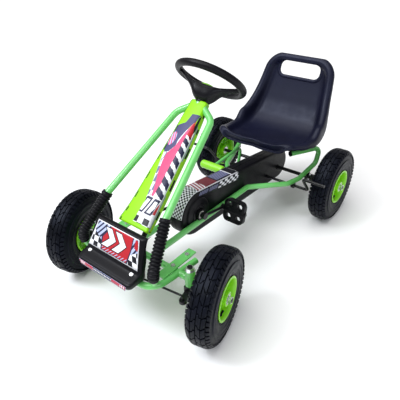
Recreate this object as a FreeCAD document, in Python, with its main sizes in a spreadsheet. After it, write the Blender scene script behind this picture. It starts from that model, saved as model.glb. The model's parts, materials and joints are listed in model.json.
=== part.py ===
import FreeCAD, Part
import math
import os
import Sketcher
from FreeCAD import Placement, Rotation, Vector

# A child's pedal go kart, in millimetres.  +Z is up, the kart drives towards -Y and +X is the
# driver's left.  Every place below is measured from the point on the ground midway between the
# axles; the last step moves the whole kart by origin_shift, so that the frame's origin lies on the
# ground under the middle of the bounding box.

doc = FreeCAD.newDocument("PedalKart")

DIMENSIONS = {
    "origin_shift": -18.55,
    "half_wheelbase": 352.0,
    "half_track": 248.0,
    "axle_height": 130.0,
    "tyre_radius": 130.0,
    "tyre_width": 70.0,
    "tyre_shoulder": 24.0,
    "rim_radius": 60.0,
    "rim_bore": 52.0,
    "hub_radius": 18.0,
    "hub_half_length": 32.0,
    "bearing_radius": 14.0,
    "bearing_width": 9.0,
    "running_fit": 0.05,
    "kingpin_offset": 73.0,
    "kingpin_radius": 7.0,
    "stub_radius": 6.0,
    "knuckle_arm": 45.0,
    "pitman_arm": 34.0,
    "steer_angle": 13.5,
    "column_tilt": 40.6,
    "column_radius": 7.0,
    "wheel_ring_radius": 95.5,
    "wheel_ring_tube": 10.4,
    "frame_tube": 9.5,
    "rail_tube": 9.0,
    "tube_wall": 1.5,
    "beam_height": 158.0,
    "barrel_radius": 14.0,
    "crank_y": -138.0,
    "crank_height": 184.0,
    "crank_arm": 100.0,
    "crank_angle": -11.0,
    "crank_radius": 8.0,
    "case_half_width": 28.0,
    "case_wall": 2.5,
    "rear_axle_radius": 6.5,
    "brake_y": 270.0,
    "brake_height": 126.0,
    "brake_rod": 5.0,
    "seat_wall": 4.0,
}


class Size:
    """A length together with the sheet expression that gives it."""

    def __init__(self, value, text):
        self.value = value
        self.text = text

    def join(self, other, sign, value):
        text = other.text if isinstance(other, Size) else repr(float(other))
        return Size(value, "(%s %s %s)" % (self.text, sign, text))

    def __add__(self, other):
        return self.join(other, "+", self.value + number(other))

    def __sub__(self, other):
        return self.join(other, "-", self.value - number(other))

    def __mul__(self, other):
        return self.join(other, "*", self.value * number(other))

    def __neg__(self):
        return self * -1


def number(size):
    return size.value if isinstance(size, Size) else float(size)


def make_sheet():
    sheet = doc.addObject("Spreadsheet::Sheet", "Sheet")
    sizes = {}
    for row, (name, value) in enumerate(DIMENSIONS.items(), start=1):
        sheet.set("A%d" % row, name)
        sheet.set("B%d" % row, str(value))
        sheet.setAlias("B%d" % row, name)
        sizes[name] = Size(value, "Sheet." + name)
    doc.recompute()
    return sizes


S = make_sheet()
PARTS = []


def bind(obj, **sizes):
    """Sets properties and ties those that come from the sheet to their cells."""
    for prop, size in sizes.items():
        setattr(obj, prop, number(size))
        if isinstance(size, Size):
            obj.setExpression(prop, size.text)


def keep(obj, label):
    """Registers a finished sub-part under the name of its file."""
    obj.Label = label
    PARTS.append(obj)
    return obj


def turn(axis, degrees, about=Vector(0, 0, 0)):
    """A placement that turns things about an axis through a point."""
    rotation = Rotation(axis, degrees)
    return Placement(about - rotation.multVec(about), rotation)


def aim(start, direction):
    """A placement that puts local Z along a direction, at a point."""
    return Placement(start, Rotation(Vector(0, 0, 1), direction))


X_AXIS = Vector(1, 0, 0)
Y_AXIS = Vector(0, 1, 0)
Z_AXIS = Vector(0, 0, 1)


# ---------------------------------------------------------------- building blocks

def cylinder(start, direction, radius, length):
    solid = doc.addObject("Part::Cylinder", "Cylinder")
    bind(solid, Radius=radius, Height=length)
    solid.Placement = aim(start, direction)
    return solid


def box(low, high):
    solid = doc.addObject("Part::Box", "Box")
    bind(solid, Length=high[0] - low[0], Width=high[1] - low[1], Height=high[2] - low[2])
    solid.Placement = Placement(Vector(*low), Rotation())
    return solid


def prism(start, direction, radius, length):
    """A hexagonal bar, such as a nut before its bore."""
    solid = doc.addObject("Part::Prism", "Prism")
    solid.Polygon = 6
    bind(solid, Circumradius=radius, Height=length)
    solid.Placement = aim(start, direction)
    return solid


def fuse(*solids):
    joined = doc.addObject("Part::MultiFuse", "Fuse")
    joined.Shapes = list(solids)
    joined.Refine = True
    return joined


def cut(base, *tools):
    tool = tools[0] if len(tools) == 1 else fuse(*tools)
    result = doc.addObject("Part::Cut", "Cut")
    result.Base = base
    result.Tool = tool
    return result


def group(*solids):
    """Separate solids kept in one sub-part."""
    compound = doc.addObject("Part::Compound", "Group")
    compound.Links = list(solids)
    return compound


def ring(start, direction, outer, inner, length):
    return cut(cylinder(start, direction, outer, length), cylinder(start, direction, inner, length))


def nut(start, direction, radius, bore, length):
    return cut(prism(start, direction, radius, length), cylinder(start, direction, bore, length))


def bolt(start, direction, radius, length, head=0.0):
    """A round-headed bolt: start lies under the head and direction points along the shank."""
    head_radius = head or radius * 1.8
    shank = cylinder(start, direction, radius, length)
    cap = cylinder(start, -direction, head_radius, radius * 0.9)
    return fuse(shank, cap)


def path_wire(points, radius):
    """Straight runs through the points, joined by arcs of the given radius."""
    edges = []
    start = points[0]
    for before, corner, after in zip(points, points[1:], points[2:]):
        back = (before - corner).normalize()
        ahead = (after - corner).normalize()
        half_turn = (math.pi - back.getAngle(ahead)) / 2
        reach = radius * math.tan(half_turn)
        first = corner + back * reach
        last = corner + ahead * reach
        middle_way = (back + ahead).normalize()
        middle = corner + middle_way * (radius / math.cos(half_turn) - radius)
        edges.append(Part.LineSegment(start, first).toShape())
        edges.append(Part.Arc(first, middle, last).toShape())
        start = last
    edges.append(Part.LineSegment(start, points[-1]).toShape())
    return Part.Wire(edges)


def rod(points, bend, radius):
    """A solid bar swept along a bent path."""
    path = doc.addObject("Part::Feature", "Path")
    path.Shape = path_wire(points, bend)
    profile = doc.addObject("Part::Circle", "Profile")
    bind(profile, Radius=radius)
    profile.Placement = aim(points[0], points[1] - points[0])
    sweep = doc.addObject("Part::Sweep", "Sweep")
    sweep.Sections = [profile]
    sweep.Spine = (path, ["Edge%d" % (i + 1) for i in range(len(path.Shape.Edges))])
    sweep.Solid = True
    sweep.Frenet = False
    return sweep


def tube(points, bend, radius, wall=None):
    """A bent steel tube."""
    inner = radius - (wall or S["tube_wall"])
    return cut(rod(points, bend, radius), rod(points, bend, inner))


def sketch_in(body, plane, outlines, circles=()):
    """A sketch of closed polygons and circles, each corner tied to its sizes."""
    sketch = body.newObject("Sketcher::SketchObject", "Sketch")
    origin_plane = [f for f in body.Origin.OriginFeatures if f.Role == plane][0]
    sketch.AttachmentSupport = [(origin_plane, "")]
    sketch.MapMode = "FlatFace"
    for outline in outlines:
        corners = [Vector(number(a), number(b), 0) for a, b in outline]
        first = sketch.GeometryCount
        for start, end in zip(corners, corners[1:] + corners[:1]):
            sketch.addGeometry(Part.LineSegment(start, end), False)
        count = len(corners)
        for i in range(count):
            following = first + (i + 1) % count
            sketch.addConstraint(Sketcher.Constraint("Coincident", first + i, 2, following, 1))
        for i, sizes in enumerate(outline):
            for kind, size in zip(("DistanceX", "DistanceY"), sizes):
                pin = Sketcher.Constraint(kind, -1, 1, first + i, 1, number(size))
                index = sketch.addConstraint(pin)
                if isinstance(size, Size):
                    sketch.setExpression("Constraints[%d]" % index, size.text)
    for across, up, radius in circles:
        centre = Vector(number(across), number(up), 0)
        circle = sketch.addGeometry(Part.Circle(centre, Vector(0, 0, 1), number(radius)), False)
        for kind, size in (("DistanceX", across), ("DistanceY", up)):
            sketch.addConstraint(Sketcher.Constraint(kind, -1, 1, circle, 3, number(size)))
        index = sketch.addConstraint(Sketcher.Constraint("Radius", circle, number(radius)))
        if isinstance(radius, Size):
            sketch.setExpression("Constraints[%d]" % index, radius.text)
    return sketch


def new_body(placement=None):
    body = doc.addObject("PartDesign::Body", "Body")
    body.Placement = placement or Placement()
    return body


def revolve(outline, placement):
    """A body turned about local X from (axial, radial) corners."""
    body = new_body(placement)
    sketch = sketch_in(body, "XY_Plane", [outline])
    turned = body.newObject("PartDesign::Revolution", "Revolution")
    turned.Profile = sketch
    turned.ReferenceAxis = (sketch, ["H_Axis"])
    turned.Angle = 360
    doc.recompute()
    return body


def pad(plane, outlines, length, placement=None, circles=()):
    """A body raised to both sides of one of its planes."""
    body = new_body(placement)
    raised = body.newObject("PartDesign::Pad", "Pad")
    raised.Profile = sketch_in(body, plane, outlines, circles)
    bind(raised, Length=length)
    raised.Midplane = True
    doc.recompute()
    return body


def round_edges(body, radius, wanted):
    """Fillets those edges of a body's tip for which wanted(edge) is true."""
    tip = body.Tip
    names = ["Edge%d" % (i + 1) for i, edge in enumerate(tip.Shape.Edges) if wanted(edge)]
    fillet = body.newObject("PartDesign::Fillet", "Fillet")
    fillet.Base = (tip, names)
    bind(fillet, Radius=radius)
    doc.recompute()
    return body


def loft(sections):
    """A solid through closed polygons, with straight sides between them."""
    wires = [Part.makePolygon(points + points[:1]) for points in sections]
    solid = doc.addObject("Part::Feature", "Loft")
    solid.Shape = Part.makeLoft(wires, True, True)
    return solid


# ---------------------------------------------------------------- where things lie

FRONT_Y = -S["half_wheelbase"]
REAR_Y = S["half_wheelbase"]
FIT = S["running_fit"]
KINGPIN_X = number(S["half_track"]) - number(S["kingpin_offset"])
AXLE_Z = number(S["axle_height"])
BEAM_Z = number(S["beam_height"])
STEER = number(S["steer_angle"])
STEERING_RATIO = number(S["pitman_arm"]) / number(S["knuckle_arm"])
COLUMN_TURN = STEER / STEERING_RATIO

TILT = math.radians(number(S["column_tilt"]))
COLUMN = Vector(0, math.sin(TILT), math.cos(TILT))
ARM_WAY = Vector(0, -math.cos(TILT), math.sin(TILT))
WHEEL_CENTRE = Vector(0, -34.0, 558.6)
PITMAN_DEPTH = 556.0
COLUMN_STEERED = turn(COLUMN, COLUMN_TURN, WHEEL_CENTRE)

CRANK = Vector(0, number(S["crank_y"]), number(S["crank_height"]))
REAR_AXLE = Vector(0, number(REAR_Y), AXLE_Z)
BRAKE = Vector(0, number(S["brake_y"]), number(S["brake_height"]))
SIDES = {"left": 1, "right": -1}


def down_column(depth):
    """The point on the steering axis this far below the steering wheel's centre."""
    return WHEEL_CENTRE - COLUMN * depth


def kingpin(side):
    return Vector(side * KINGPIN_X, number(FRONT_Y), 0)


def steered(side):
    """The placement of what turns with a front wheel, from straight ahead to the rest pose."""
    return turn(Z_AXIS, STEER, kingpin(side))


# ---------------------------------------------------------------- wheels

def wheel(name, placement, driven):
    """Tyre, inner tube, rim and bearings, round local X with the outer side at +X."""
    half = S["tyre_width"] * 0.5
    crown = S["tyre_radius"]
    bead = S["rim_bore"] + 5
    tyre = revolve([(half * -0.77, bead), (-half, bead + 21), (-half, crown), (half, crown),
                    (half, bead + 21), (half * 0.77, bead), (half * 0.63, bead),
                    (half - 6, bead + 23), (half - 6, crown - 14), (half - 14, crown - 6),
                    (-half + 14, crown - 6), (-half + 6, crown - 14), (-half + 6, bead + 23),
                    (half * -0.63, bead)], placement)
    tread_width = 2 * number(crown)
    round_edges(tyre, S["tyre_shoulder"],
                lambda edge: abs(edge.BoundBox.ZLength - tread_width) < 0.1)
    keep(tyre, name + "_tyre")

    tori = []
    for section in (25, 23):
        torus = doc.addObject("Part::Torus", "Torus")
        bind(torus, Radius1=92, Radius2=section)
        torus.Placement = turn(Y_AXIS, 90)
        tori.append(torus)
    valve = cylinder(Vector(12, 0, 42), Z_AXIS, 3, 32)
    inflated = cut(fuse(tori[0], valve), tori[1])
    inflated.Placement = placement
    keep(inflated, name + "_inner_tube")

    seat = S["rim_bore"] + 4.5
    flange = S["rim_radius"]
    hub = S["hub_radius"]
    end = S["hub_half_length"]
    deep = S["hub_half_length"] - S["bearing_width"]
    bore = S["bearing_radius"]
    web = 3
    well = S["rim_bore"] - 3
    turned = revolve([(-end, well), (-end, flange), (-end + 2.5, flange), (-end + 4, seat),
                      (end - 4, seat), (end - 2.5, flange), (end, flange), (end, well),
                      (web, well), (web, hub), (end, hub), (end, bore), (deep, bore), (deep, 9.5),
                      (-deep, 9.5), (-deep, bore), (-end, bore), (-end, hub), (-web, hub),
                      (-web, well)], Placement())
    openings = [cylinder(Vector(12, 0, 40), Z_AXIS, 4, 30)]
    for i in range(5):
        angle = math.radians(72 * i + 36)
        place = Vector(-10, 33.5 * math.sin(angle), 33.5 * math.cos(angle))
        openings.append(cylinder(place, X_AXIS, 9, 20))
    rim = cut(turned, *openings)
    rim.Placement = placement
    keep(rim, name + "_rim")

    shaft = S["rear_axle_radius"] if "rear" in name else S["stub_radius"]
    width = S["bearing_width"] - 0.2
    inner_face = -number(end)
    outer_face = number(end) - number(width)
    sleeves = [ring(Vector(x, 0, 0), X_AXIS, bore - FIT, shaft + FIT, width)
               for x in (inner_face, outer_face)]
    sleeve_pair = group(*sleeves)
    sleeve_pair.Placement = placement
    keep(sleeve_pair, name + ("_drive_sleeves" if driven else "_bearings"))


def wheels():
    for word, side in SIDES.items():
        out = turn(Z_AXIS, 0 if side > 0 else 180)
        front = Vector(side * number(S["half_track"]), number(FRONT_Y), AXLE_Z)
        rear = Vector(side * number(S["half_track"]), number(REAR_Y), AXLE_Z)
        wheel("front_%s" % word, steered(side) * Placement(front, out.Rotation), False)
        wheel("rear_%s" % word, Placement(rear, out.Rotation), side < 0)


# ---------------------------------------------------------------- steering

def knuckle(word, side):
    """Kingpin, stub axle and steering arm of one front wheel, and their nuts."""
    pin = kingpin(side)
    out = X_AXIS * side
    at_axle = pin + Z_AXIS * AXLE_Z
    block_half = 13
    block = box((pin.x - block_half, pin.y - block_half, 118), (pin.x + block_half,
                pin.y + block_half, 138.5))
    post = cylinder(pin + Z_AXIS * 119, Z_AXIS, S["kingpin_radius"], 81)
    hub_face = number(S["kingpin_offset"]) - number(S["hub_half_length"])
    stub_length = number(S["kingpin_offset"]) + number(S["hub_half_length"]) + 11
    collar = cylinder(at_axle + out * 10, out, 9.5, hub_face - 10.4)
    stub = cylinder(at_axle + out * 10, out, S["stub_radius"], stub_length - 10)
    arm_end = pin - Y_AXIS * number(S["knuckle_arm"])
    arm = box((pin.x - 10, arm_end.y, 118), (pin.x + 10, pin.y, 126))
    arm_tip = cylinder(arm_end + Z_AXIS * 118, Z_AXIS, 10, 8)
    joined = fuse(block, post, collar, stub, arm, arm_tip)
    body = cut(joined, cylinder(arm_end + Z_AXIS * 110, Z_AXIS, 3 + number(FIT), 30))
    body.Placement = steered(side)
    keep(body, "knuckle_" + word)

    washer = ring(pin + Z_AXIS * 188.4, Z_AXIS, 13, S["kingpin_radius"] + FIT, 1.6)
    top_nut = fuse(washer, nut(pin + Z_AXIS * 190, Z_AXIS, 11, S["kingpin_radius"] + FIT, 8))

    nut_start = at_axle + out * (stub_length - 10.4)
    wheel_nut = nut(nut_start, out, 10, S["stub_radius"] + FIT, 9)
    nuts = group(top_nut, wheel_nut)
    nuts.Placement = steered(side)
    keep(nuts, "knuckle_nuts_" + word)


PITMAN_HOLE = 9.0


def pitman_hole(side):
    """Where a tie rod's inner end goes through the steering plate, at the rest pose."""
    straight = down_column(PITMAN_DEPTH) + ARM_WAY * number(S["pitman_arm"])
    return COLUMN_STEERED.multVec(straight + X_AXIS * side * PITMAN_HOLE)


def column():
    """The steering shaft with the plate that drives both tie rods."""
    end = down_column(PITMAN_DEPTH + 6)
    shaft = cylinder(end, COLUMN, S["column_radius"], PITMAN_DEPTH + 6 - 30)
    thickness = 3.0
    foot = down_column(PITMAN_DEPTH)
    arm = number(S["pitman_arm"])
    plate = doc.addObject("Part::Box", "Plate")
    bind(plate, Length=42, Width=S["pitman_arm"] + 20, Height=thickness)
    across = Rotation(X_AXIS, -ARM_WAY, COLUMN, "ZXY")
    corner = foot - X_AXIS * 21 + ARM_WAY * (arm + 10) - COLUMN * thickness / 2
    plate.Placement = Placement(corner, across)
    holes = []
    for side in SIDES.values():
        hole = foot + ARM_WAY * arm + X_AXIS * side * PITMAN_HOLE - COLUMN * 10
        holes.append(cylinder(hole, COLUMN, 7, 20))
    steering = fuse(shaft, cut(plate, *holes))
    steering.Placement = COLUMN_STEERED
    keep(steering, "steering_column")


def tie_rod(word, side):
    """A bar whose outer end hangs in the steering arm and whose inner end stands in the plate."""
    run_height = 140
    outer = steered(side).multVec(kingpin(side) - Y_AXIS * number(S["knuckle_arm"]))
    inner = pitman_hole(side)
    points = [Vector(outer.x, outer.y, 113), Vector(outer.x, outer.y, run_height),
              Vector(inner.x, inner.y, run_height), Vector(inner.x, inner.y, inner.z + 15)]
    keep(rod(points, 6, 3), "tie_rod_" + word)


def steering_wheel():
    """Rim, hub with two spokes, and the cap over the hub's nut."""
    grip = doc.addObject("Part::Torus", "Torus")
    bind(grip, Radius1=S["wheel_ring_radius"], Radius2=S["wheel_ring_tube"])
    keep(grip, "steering_wheel_rim")
    reach = number(S["wheel_ring_radius"]) - number(S["wheel_ring_tube"]) * 0.55
    dish = pad("XZ_Plane", [[(-reach, 4), (-reach, -7), (-60, -26), (-36, -38), (-22, -66),
                             (22, -66), (36, -38), (60, -26), (reach, -7), (reach, 4),
                             (56, -16), (34, -22), (-34, -22), (-56, -16)]], 42)
    cutter = doc.addObject("Part::Torus", "Torus")
    bind(cutter, Radius1=S["wheel_ring_radius"], Radius2=S["wheel_ring_tube"])
    shaft_bore = cylinder(Vector(0, 0, -80), Z_AXIS, S["column_radius"] + FIT, 50)
    hub = cut(dish, cutter, shaft_bore)
    keep(hub, "steering_hub")
    cap = cylinder(Vector(0, 0, -22), Z_AXIS, 20, 3)
    keep(cap, "steering_cap")
    upright = Rotation(X_AXIS, -ARM_WAY, COLUMN, "ZXY")
    for piece in (grip, hub, cap):
        piece.Placement = COLUMN_STEERED * Placement(WHEEL_CENTRE, upright)


def column_bushes():
    """Plastic bushes in the steering head and in the sleeve on the front beam."""
    pieces = []
    for low, high in (HEAD_SPAN, SLEEVE_SPAN):
        for depth in (low + 12, high - 0.2):
            pieces.append(ring(down_column(depth), COLUMN, 9.95, S["column_radius"] + FIT, 11.8))
    keep(group(*pieces), "column_bushes")


def steering():
    for word, side in SIDES.items():
        knuckle(word, side)
        tie_rod(word, side)
    column()
    steering_wheel()
    column_bushes()


# ---------------------------------------------------------------- frame

HEAD_SPAN = (70.0, 116.0)
SLEEVE_SPAN = (488.0, 532.0)


def side_points(points, side):
    return [Vector(side * x, y, z) for x, y, z in points]


LOOP_POINTS = [(142, -288, 159), (134, -380, 159), (124, -442, 159)]
HOOP_POINTS = [(122, -426, 167), (134, -441, 215), (105, -355, 315), (61, -112, 478),
               (17, -90, 500)]
RAIL_POINTS = [(38, -343, 164), (38, 122, 153), (130, 240, 143), (147, 296, 145),
               (164, 385, 176), (168, 396, 236), (112, 279, 240)]
HOOP_BEND = 34.0
LOOP_BEND = 45.0
RAIL_BEND = 22.0


def front_loop():
    """The tube that runs round behind the bumper, from one end of the beam to the other."""
    left = side_points(LOOP_POINTS, 1)
    right = side_points(LOOP_POINTS, -1)
    keep(tube(left + right[::-1], LOOP_BEND, S["rail_tube"]), "front_loop")


def front_beam():
    """The cross tube with a kingpin barrel at each end and the column's lower sleeve."""
    centre = Vector(0, number(FRONT_Y), BEAM_Z)
    reach = KINGPIN_X
    bar = cylinder(centre - X_AXIS * reach, X_AXIS, S["frame_tube"], 2 * reach)
    solids = [bar, cylinder(down_column(SLEEVE_SPAN[1]), COLUMN, 13,
                            SLEEVE_SPAN[1] - SLEEVE_SPAN[0])]
    hollows = [cylinder(down_column(SLEEVE_SPAN[1] + 9), COLUMN, 10, 62)]
    for side in SIDES.values():
        foot = kingpin(side) + Z_AXIS * 140
        solids.append(cylinder(foot, Z_AXIS, S["barrel_radius"], 48))
        hollows.append(cylinder(foot - Z_AXIS * 5, Z_AXIS, S["kingpin_radius"] + FIT, 60))
        inner = side * (number(S["frame_tube"]) + 12)
        length = reach - number(S["barrel_radius"]) - 26
        start = centre + X_AXIS * inner
        hollows.append(cylinder(start, X_AXIS * side, S["frame_tube"] - S["tube_wall"], length))
    loop = side_points(LOOP_POINTS, 1) + side_points(LOOP_POINTS, -1)[::-1]
    hollows.append(rod(loop, LOOP_BEND, S["rail_tube"]))
    keep(cut(fuse(*solids), *hollows), "front_beam")


def hoop():
    """Two bent legs that rise from the front loop to the steering head."""
    head = ring(down_column(HEAD_SPAN[1]), COLUMN, 17, 10, HEAD_SPAN[1] - HEAD_SPAN[0])
    keep(head, "steering_head")
    for word, side in SIDES.items():
        leg = tube(side_points(HOOP_POINTS, side), HOOP_BEND, S["frame_tube"])
        around = cylinder(down_column(HEAD_SPAN[1] + 20), COLUMN, 17, 90)
        below = box((-200, -500, 100), (200, -380, 168.3))
        keep(cut(leg, around, below), "hoop_leg_" + word)


def hoses():
    """Corrugated sleeves over the lower ends of the hoop legs."""
    low, high = Vector(*HOOP_POINTS[1]), Vector(*HOOP_POINTS[2])
    along = (high - low).normalize()
    foot = Vector(*HOOP_POINTS[0])
    start = low + (foot - low) * 0.42
    for word, side in SIDES.items():
        points = [Vector(side * p.x, p.y, p.z) for p in
                  (start, low, high + along * 2)]
        keep(tube(points, HOOP_BEND, 15.5, 15.5 - number(S["frame_tube"]) - 0.3),
             "hose_" + word)


def side_rails():
    """Main tubes: from the beam, past the chain case and rear axle, and back under the seat."""
    beam = cylinder(Vector(-200, number(FRONT_Y), BEAM_Z), X_AXIS, S["frame_tube"], 400)
    plugs = []
    for word, side in SIDES.items():
        rail = tube(side_points(RAIL_POINTS, side), RAIL_BEND, S["rail_tube"])
        keep(cut(rail, beam), "side_rail_" + word)
        end, before = side_points(RAIL_POINTS[:-3:-1], side)
        way = (end - before).normalize()
        disc = cylinder(end, way, S["rail_tube"] + 0.6, 3)
        stopper = cylinder(end - way * 12, way, S["rail_tube"] - S["tube_wall"] - FIT, 12)
        plugs.append(fuse(disc, stopper))
    keep(group(*plugs), "rail_end_plugs")


STRAP_BASE = 168.2


def bumper_straps():
    """Flat bars that tie the front loop to the beam, with their bolts."""
    straps = []
    bolts = []
    for side in SIDES.values():
        bar = box((104, -402, STRAP_BASE), (130, -272, STRAP_BASE + 4))
        holes = [cylinder(Vector(117, y, 160), Z_AXIS, 3.05, 20) for y in (-352, -296)]
        strap = cut(bar, *holes)
        if side < 0:
            strap.Placement = Placement(Vector(-234, 0, 0), Rotation())
        straps.append(strap)
        for y in (-352, -296):
            bolts.append(bolt(Vector(side * 117, y, STRAP_BASE + 4), -Z_AXIS, 3, 3.8, 6))
    keep(group(*straps), "loop_straps")
    return bolts


def bearing_brackets():
    """Welded rings that carry the rear axle, the brake rod and the crank, and their bearings."""
    brackets = []
    bearings = []
    bushes = []
    for side in SIDES.values():
        rail = rod(side_points(RAIL_POINTS, side), RAIL_BEND, S["rail_tube"])

        width = 12.0
        start = REAR_AXLE + X_AXIS * (side * 155 - width / 2)
        housing = cylinder(start, X_AXIS, 15, width)
        arm = box((side * 155 - 3, 338, AXLE_Z), (side * 155 + 3, 362, 160))
        bore = cylinder(start - X_AXIS * 5, X_AXIS, 12, width + 10)
        brackets.append(cut(fuse(housing, arm), rail, bore))
        bearings.append(ring(start, X_AXIS, 12 - number(FIT), S["rear_axle_radius"] + FIT, width))

        width = 10.0
        start = BRAKE + X_AXIS * (side * 139 - width / 2)
        hanger = cylinder(start, X_AXIS, 10, width)
        arm = box((start.x, BRAKE.y - 8, BRAKE.z), (start.x + width, BRAKE.y + 8, 142))
        bore = cylinder(start - X_AXIS * 5, X_AXIS, S["brake_rod"] + FIT, width + 10)
        brackets.append(cut(fuse(hanger, arm), rail, bore))

        start = CRANK + X_AXIS * (side * 38 - width / 2)
        shell = cylinder(start, X_AXIS, 15, width)
        arm = box((start.x, CRANK.y - 12, 160), (start.x + width, CRANK.y + 12, CRANK.z))
        bore = cylinder(start - X_AXIS * 5, X_AXIS, 12, width + 10)
        brackets.append(cut(fuse(shell, arm), rail, bore))
        bushes.append(ring(start, X_AXIS, 12 - number(FIT), S["crank_radius"] + FIT, width))
    keep(group(*brackets), "bearing_brackets")
    keep(group(*bearings), "axle_bearings")
    keep(group(*bushes), "crank_bushes")


def frame():
    front_loop()
    front_beam()
    hoop()
    hoses()
    side_rails()
    bearing_brackets()


# ---------------------------------------------------------------- bodywork

def bumper():
    """Hollow front guard, with a sloping number plate above a lip, open at the back."""
    side_view = [(-432, 164), (-476, 164), (-490, 174), (-490, 189), (-456, 199), (-416, 280),
                 (-400, 280), (-414, 240)]
    guard = pad("YZ_Plane", [side_view], 236)
    front_view = pad("XZ_Plane", [[(-84, 162), (-94, 170), (-99, 186), (-99, 205), (-89, 281),
                                   (89, 281), (99, 205), (99, 186), (94, 170), (84, 162)]],
                     1200)
    outside = doc.addObject("Part::Common", "Common")
    outside.Base = guard
    outside.Tool = front_view
    inner_view = [(-420, 167), (-475, 167), (-487, 175.5), (-487, 187), (-453.5, 197),
                  (-413.5, 277), (-380, 277), (-380, 167)]
    hollow = pad("YZ_Plane", [inner_view], 236)
    inner_front = pad("XZ_Plane", [[(-82, 165), (-91.5, 171.5), (-96, 187), (-96, 204.5),
                                    (-86, 277), (86, 277), (96, 204.5), (96, 187),
                                    (91.5, 171.5), (82, 165)]], 1200)
    inside = doc.addObject("Part::Common", "Common")
    inside.Base = hollow
    inside.Tool = inner_front
    room = box((-130, -453, 140), (130, -370, 168.5))
    keep(cut(outside, inside, room), "bumper_shell")
    bolts = []
    for side in SIDES.values():
        bolts.append(bolt(Vector(side * 78, -459, 197.4), Vector(0, 0.35, -1), 3, 16))
    keep(group(*bolts), "bumper_bolts")


FAIRING_START = Vector(0, -376, 264)
FAIRING_END = Vector(0, -88, 516)


def fairing():
    """A channel-shaped cover over the steering column, from the bumper to the head."""
    way = (FAIRING_END - FAIRING_START).normalize()
    up = way.cross(X_AXIS) * -1
    length = (FAIRING_END - FAIRING_START).Length

    def section(along, half_top, half_low, depth, wall):
        inset = wall
        outline = [(-half_low, -depth), (-half_top, 0), (half_top, 0), (half_low, -depth),
                   (half_low - inset, -depth), (half_top - inset, -wall),
                   (-half_top + inset, -wall), (-half_low + inset, -depth)]
        centre = FAIRING_START + way * along
        return [centre + X_AXIS * a + up * b for a, b in outline]

    cover = loft([section(0, 50, 58, 14, 3), section(58, 41, 54, 20, 3),
                  section(length * 0.7, 28, 40, 22, 3), section(length, 24, 29, 16, 3)])
    legs = [rod(side_points(HOOP_POINTS, side), HOOP_BEND, S["frame_tube"] + 0.3)
            for side in SIDES.values()]
    keep(cut(cover, *legs), "fairing")


def bodywork():
    bumper()
    fairing()


# ---------------------------------------------------------------- drive

CASE_FRONT = 74.0
CASE_REAR = 57.0
CASE_BORDER = 5.0
CASE_REAR_CENTRE = Vector(0, 366, 136)
CHAINRING_RADIUS = 38.0
CHAINRING_TEETH = 28
SPROCKET_RADIUS = 33.0
SPROCKET_TEETH = 24


def belt_outline(front, front_radius, rear, rear_radius):
    """Two round ends joined by their common tangents, seen from the side, as a wire."""
    across = rear - front
    tail = math.atan2(across.z, across.y)
    lean = math.acos((front_radius - rear_radius) / across.Length)
    nose, high, low = tail + math.pi, tail + lean, tail - lean

    def on(centre, radius, angle):
        return centre + Vector(0, radius * math.cos(angle), radius * math.sin(angle))

    rear_arc = [on(rear, rear_radius, angle) for angle in (low, tail, high)]
    front_arc = [on(front, front_radius, angle) for angle in (high, nose, low)]
    curves = [Part.LineSegment(front_arc[2], rear_arc[0]), Part.Arc(*rear_arc),
              Part.LineSegment(rear_arc[2], front_arc[0]), Part.Arc(*front_arc)]
    return Part.Wire([curve.toShape() for curve in curves])


def case_block(half_width, shrink, chamfer):
    """A solid of the case's outline with sloping borders on both sides."""
    inner = half_width - chamfer
    stations = [(-half_width, shrink + chamfer), (-inner, shrink), (inner, shrink),
                (half_width, shrink + chamfer)]
    wires = []
    for x, inset in stations:
        wire = belt_outline(CRANK, CASE_FRONT - inset, CASE_REAR_CENTRE, CASE_REAR - inset)
        wire.translate(X_AXIS * x)
        wires.append(wire)
    solid = doc.addObject("Part::Feature", "CaseBlock")
    solid.Shape = Part.makeLoft(wires, True, True)
    return solid


def chain_case():
    """Two half shells that meet at the middle, with round holes for crank, axle and brake rod."""
    half = number(S["case_half_width"])
    wall = number(S["case_wall"])
    for word, side in SIDES.items():
        outside = case_block(half, 0, CASE_BORDER)
        inside = case_block(half - wall, wall, CASE_BORDER)
        low_x = 0 if side > 0 else -60
        half_space = box((low_x, -400, 0), (low_x + 60, 600, 400))
        shell = doc.addObject("Part::Common", "Common")
        shell.Base = cut(outside, inside)
        shell.Tool = half_space
        holes = [cylinder(CRANK - X_AXIS * 60, X_AXIS, 10, 120),
                 cylinder(REAR_AXLE - X_AXIS * 60, X_AXIS, 10, 120),
                 cylinder(BRAKE - X_AXIS * 60, X_AXIS, 7, 120)]
        keep(cut(shell, *holes), "chain_case_" + word)


def crank():
    """The bent crank with its arms and pedal pins, and the chainring on it."""
    angle = math.radians(number(S["crank_angle"]))
    reach = Vector(0, math.cos(angle), math.sin(angle)) * number(S["crank_arm"])
    shaft_end = 57.0
    arm_place, half_boss = 54.0, 5.5
    solids = [cylinder(CRANK - X_AXIS * shaft_end, X_AXIS, S["crank_radius"], 2 * shaft_end)]
    for side in SIDES.values():
        outward = X_AXIS * side
        start = CRANK + outward * arm_place
        end = start + reach * side
        solids.append(cylinder(start, end - start, 4.5, S["crank_arm"]))
        solids.append(cylinder(start - outward * half_boss, outward, 11, 2 * half_boss))
        solids.append(cylinder(end - outward * half_boss, outward, 9, 2 * half_boss))
        solids.append(cylinder(end - outward * 3, outward, 5, 87))
        pedal(side, end)
    keep(fuse(*solids), "crank")
    keep(sprocket(CRANK, CHAINRING_TEETH, CHAINRING_RADIUS, S["crank_radius"]), "chainring")


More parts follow.
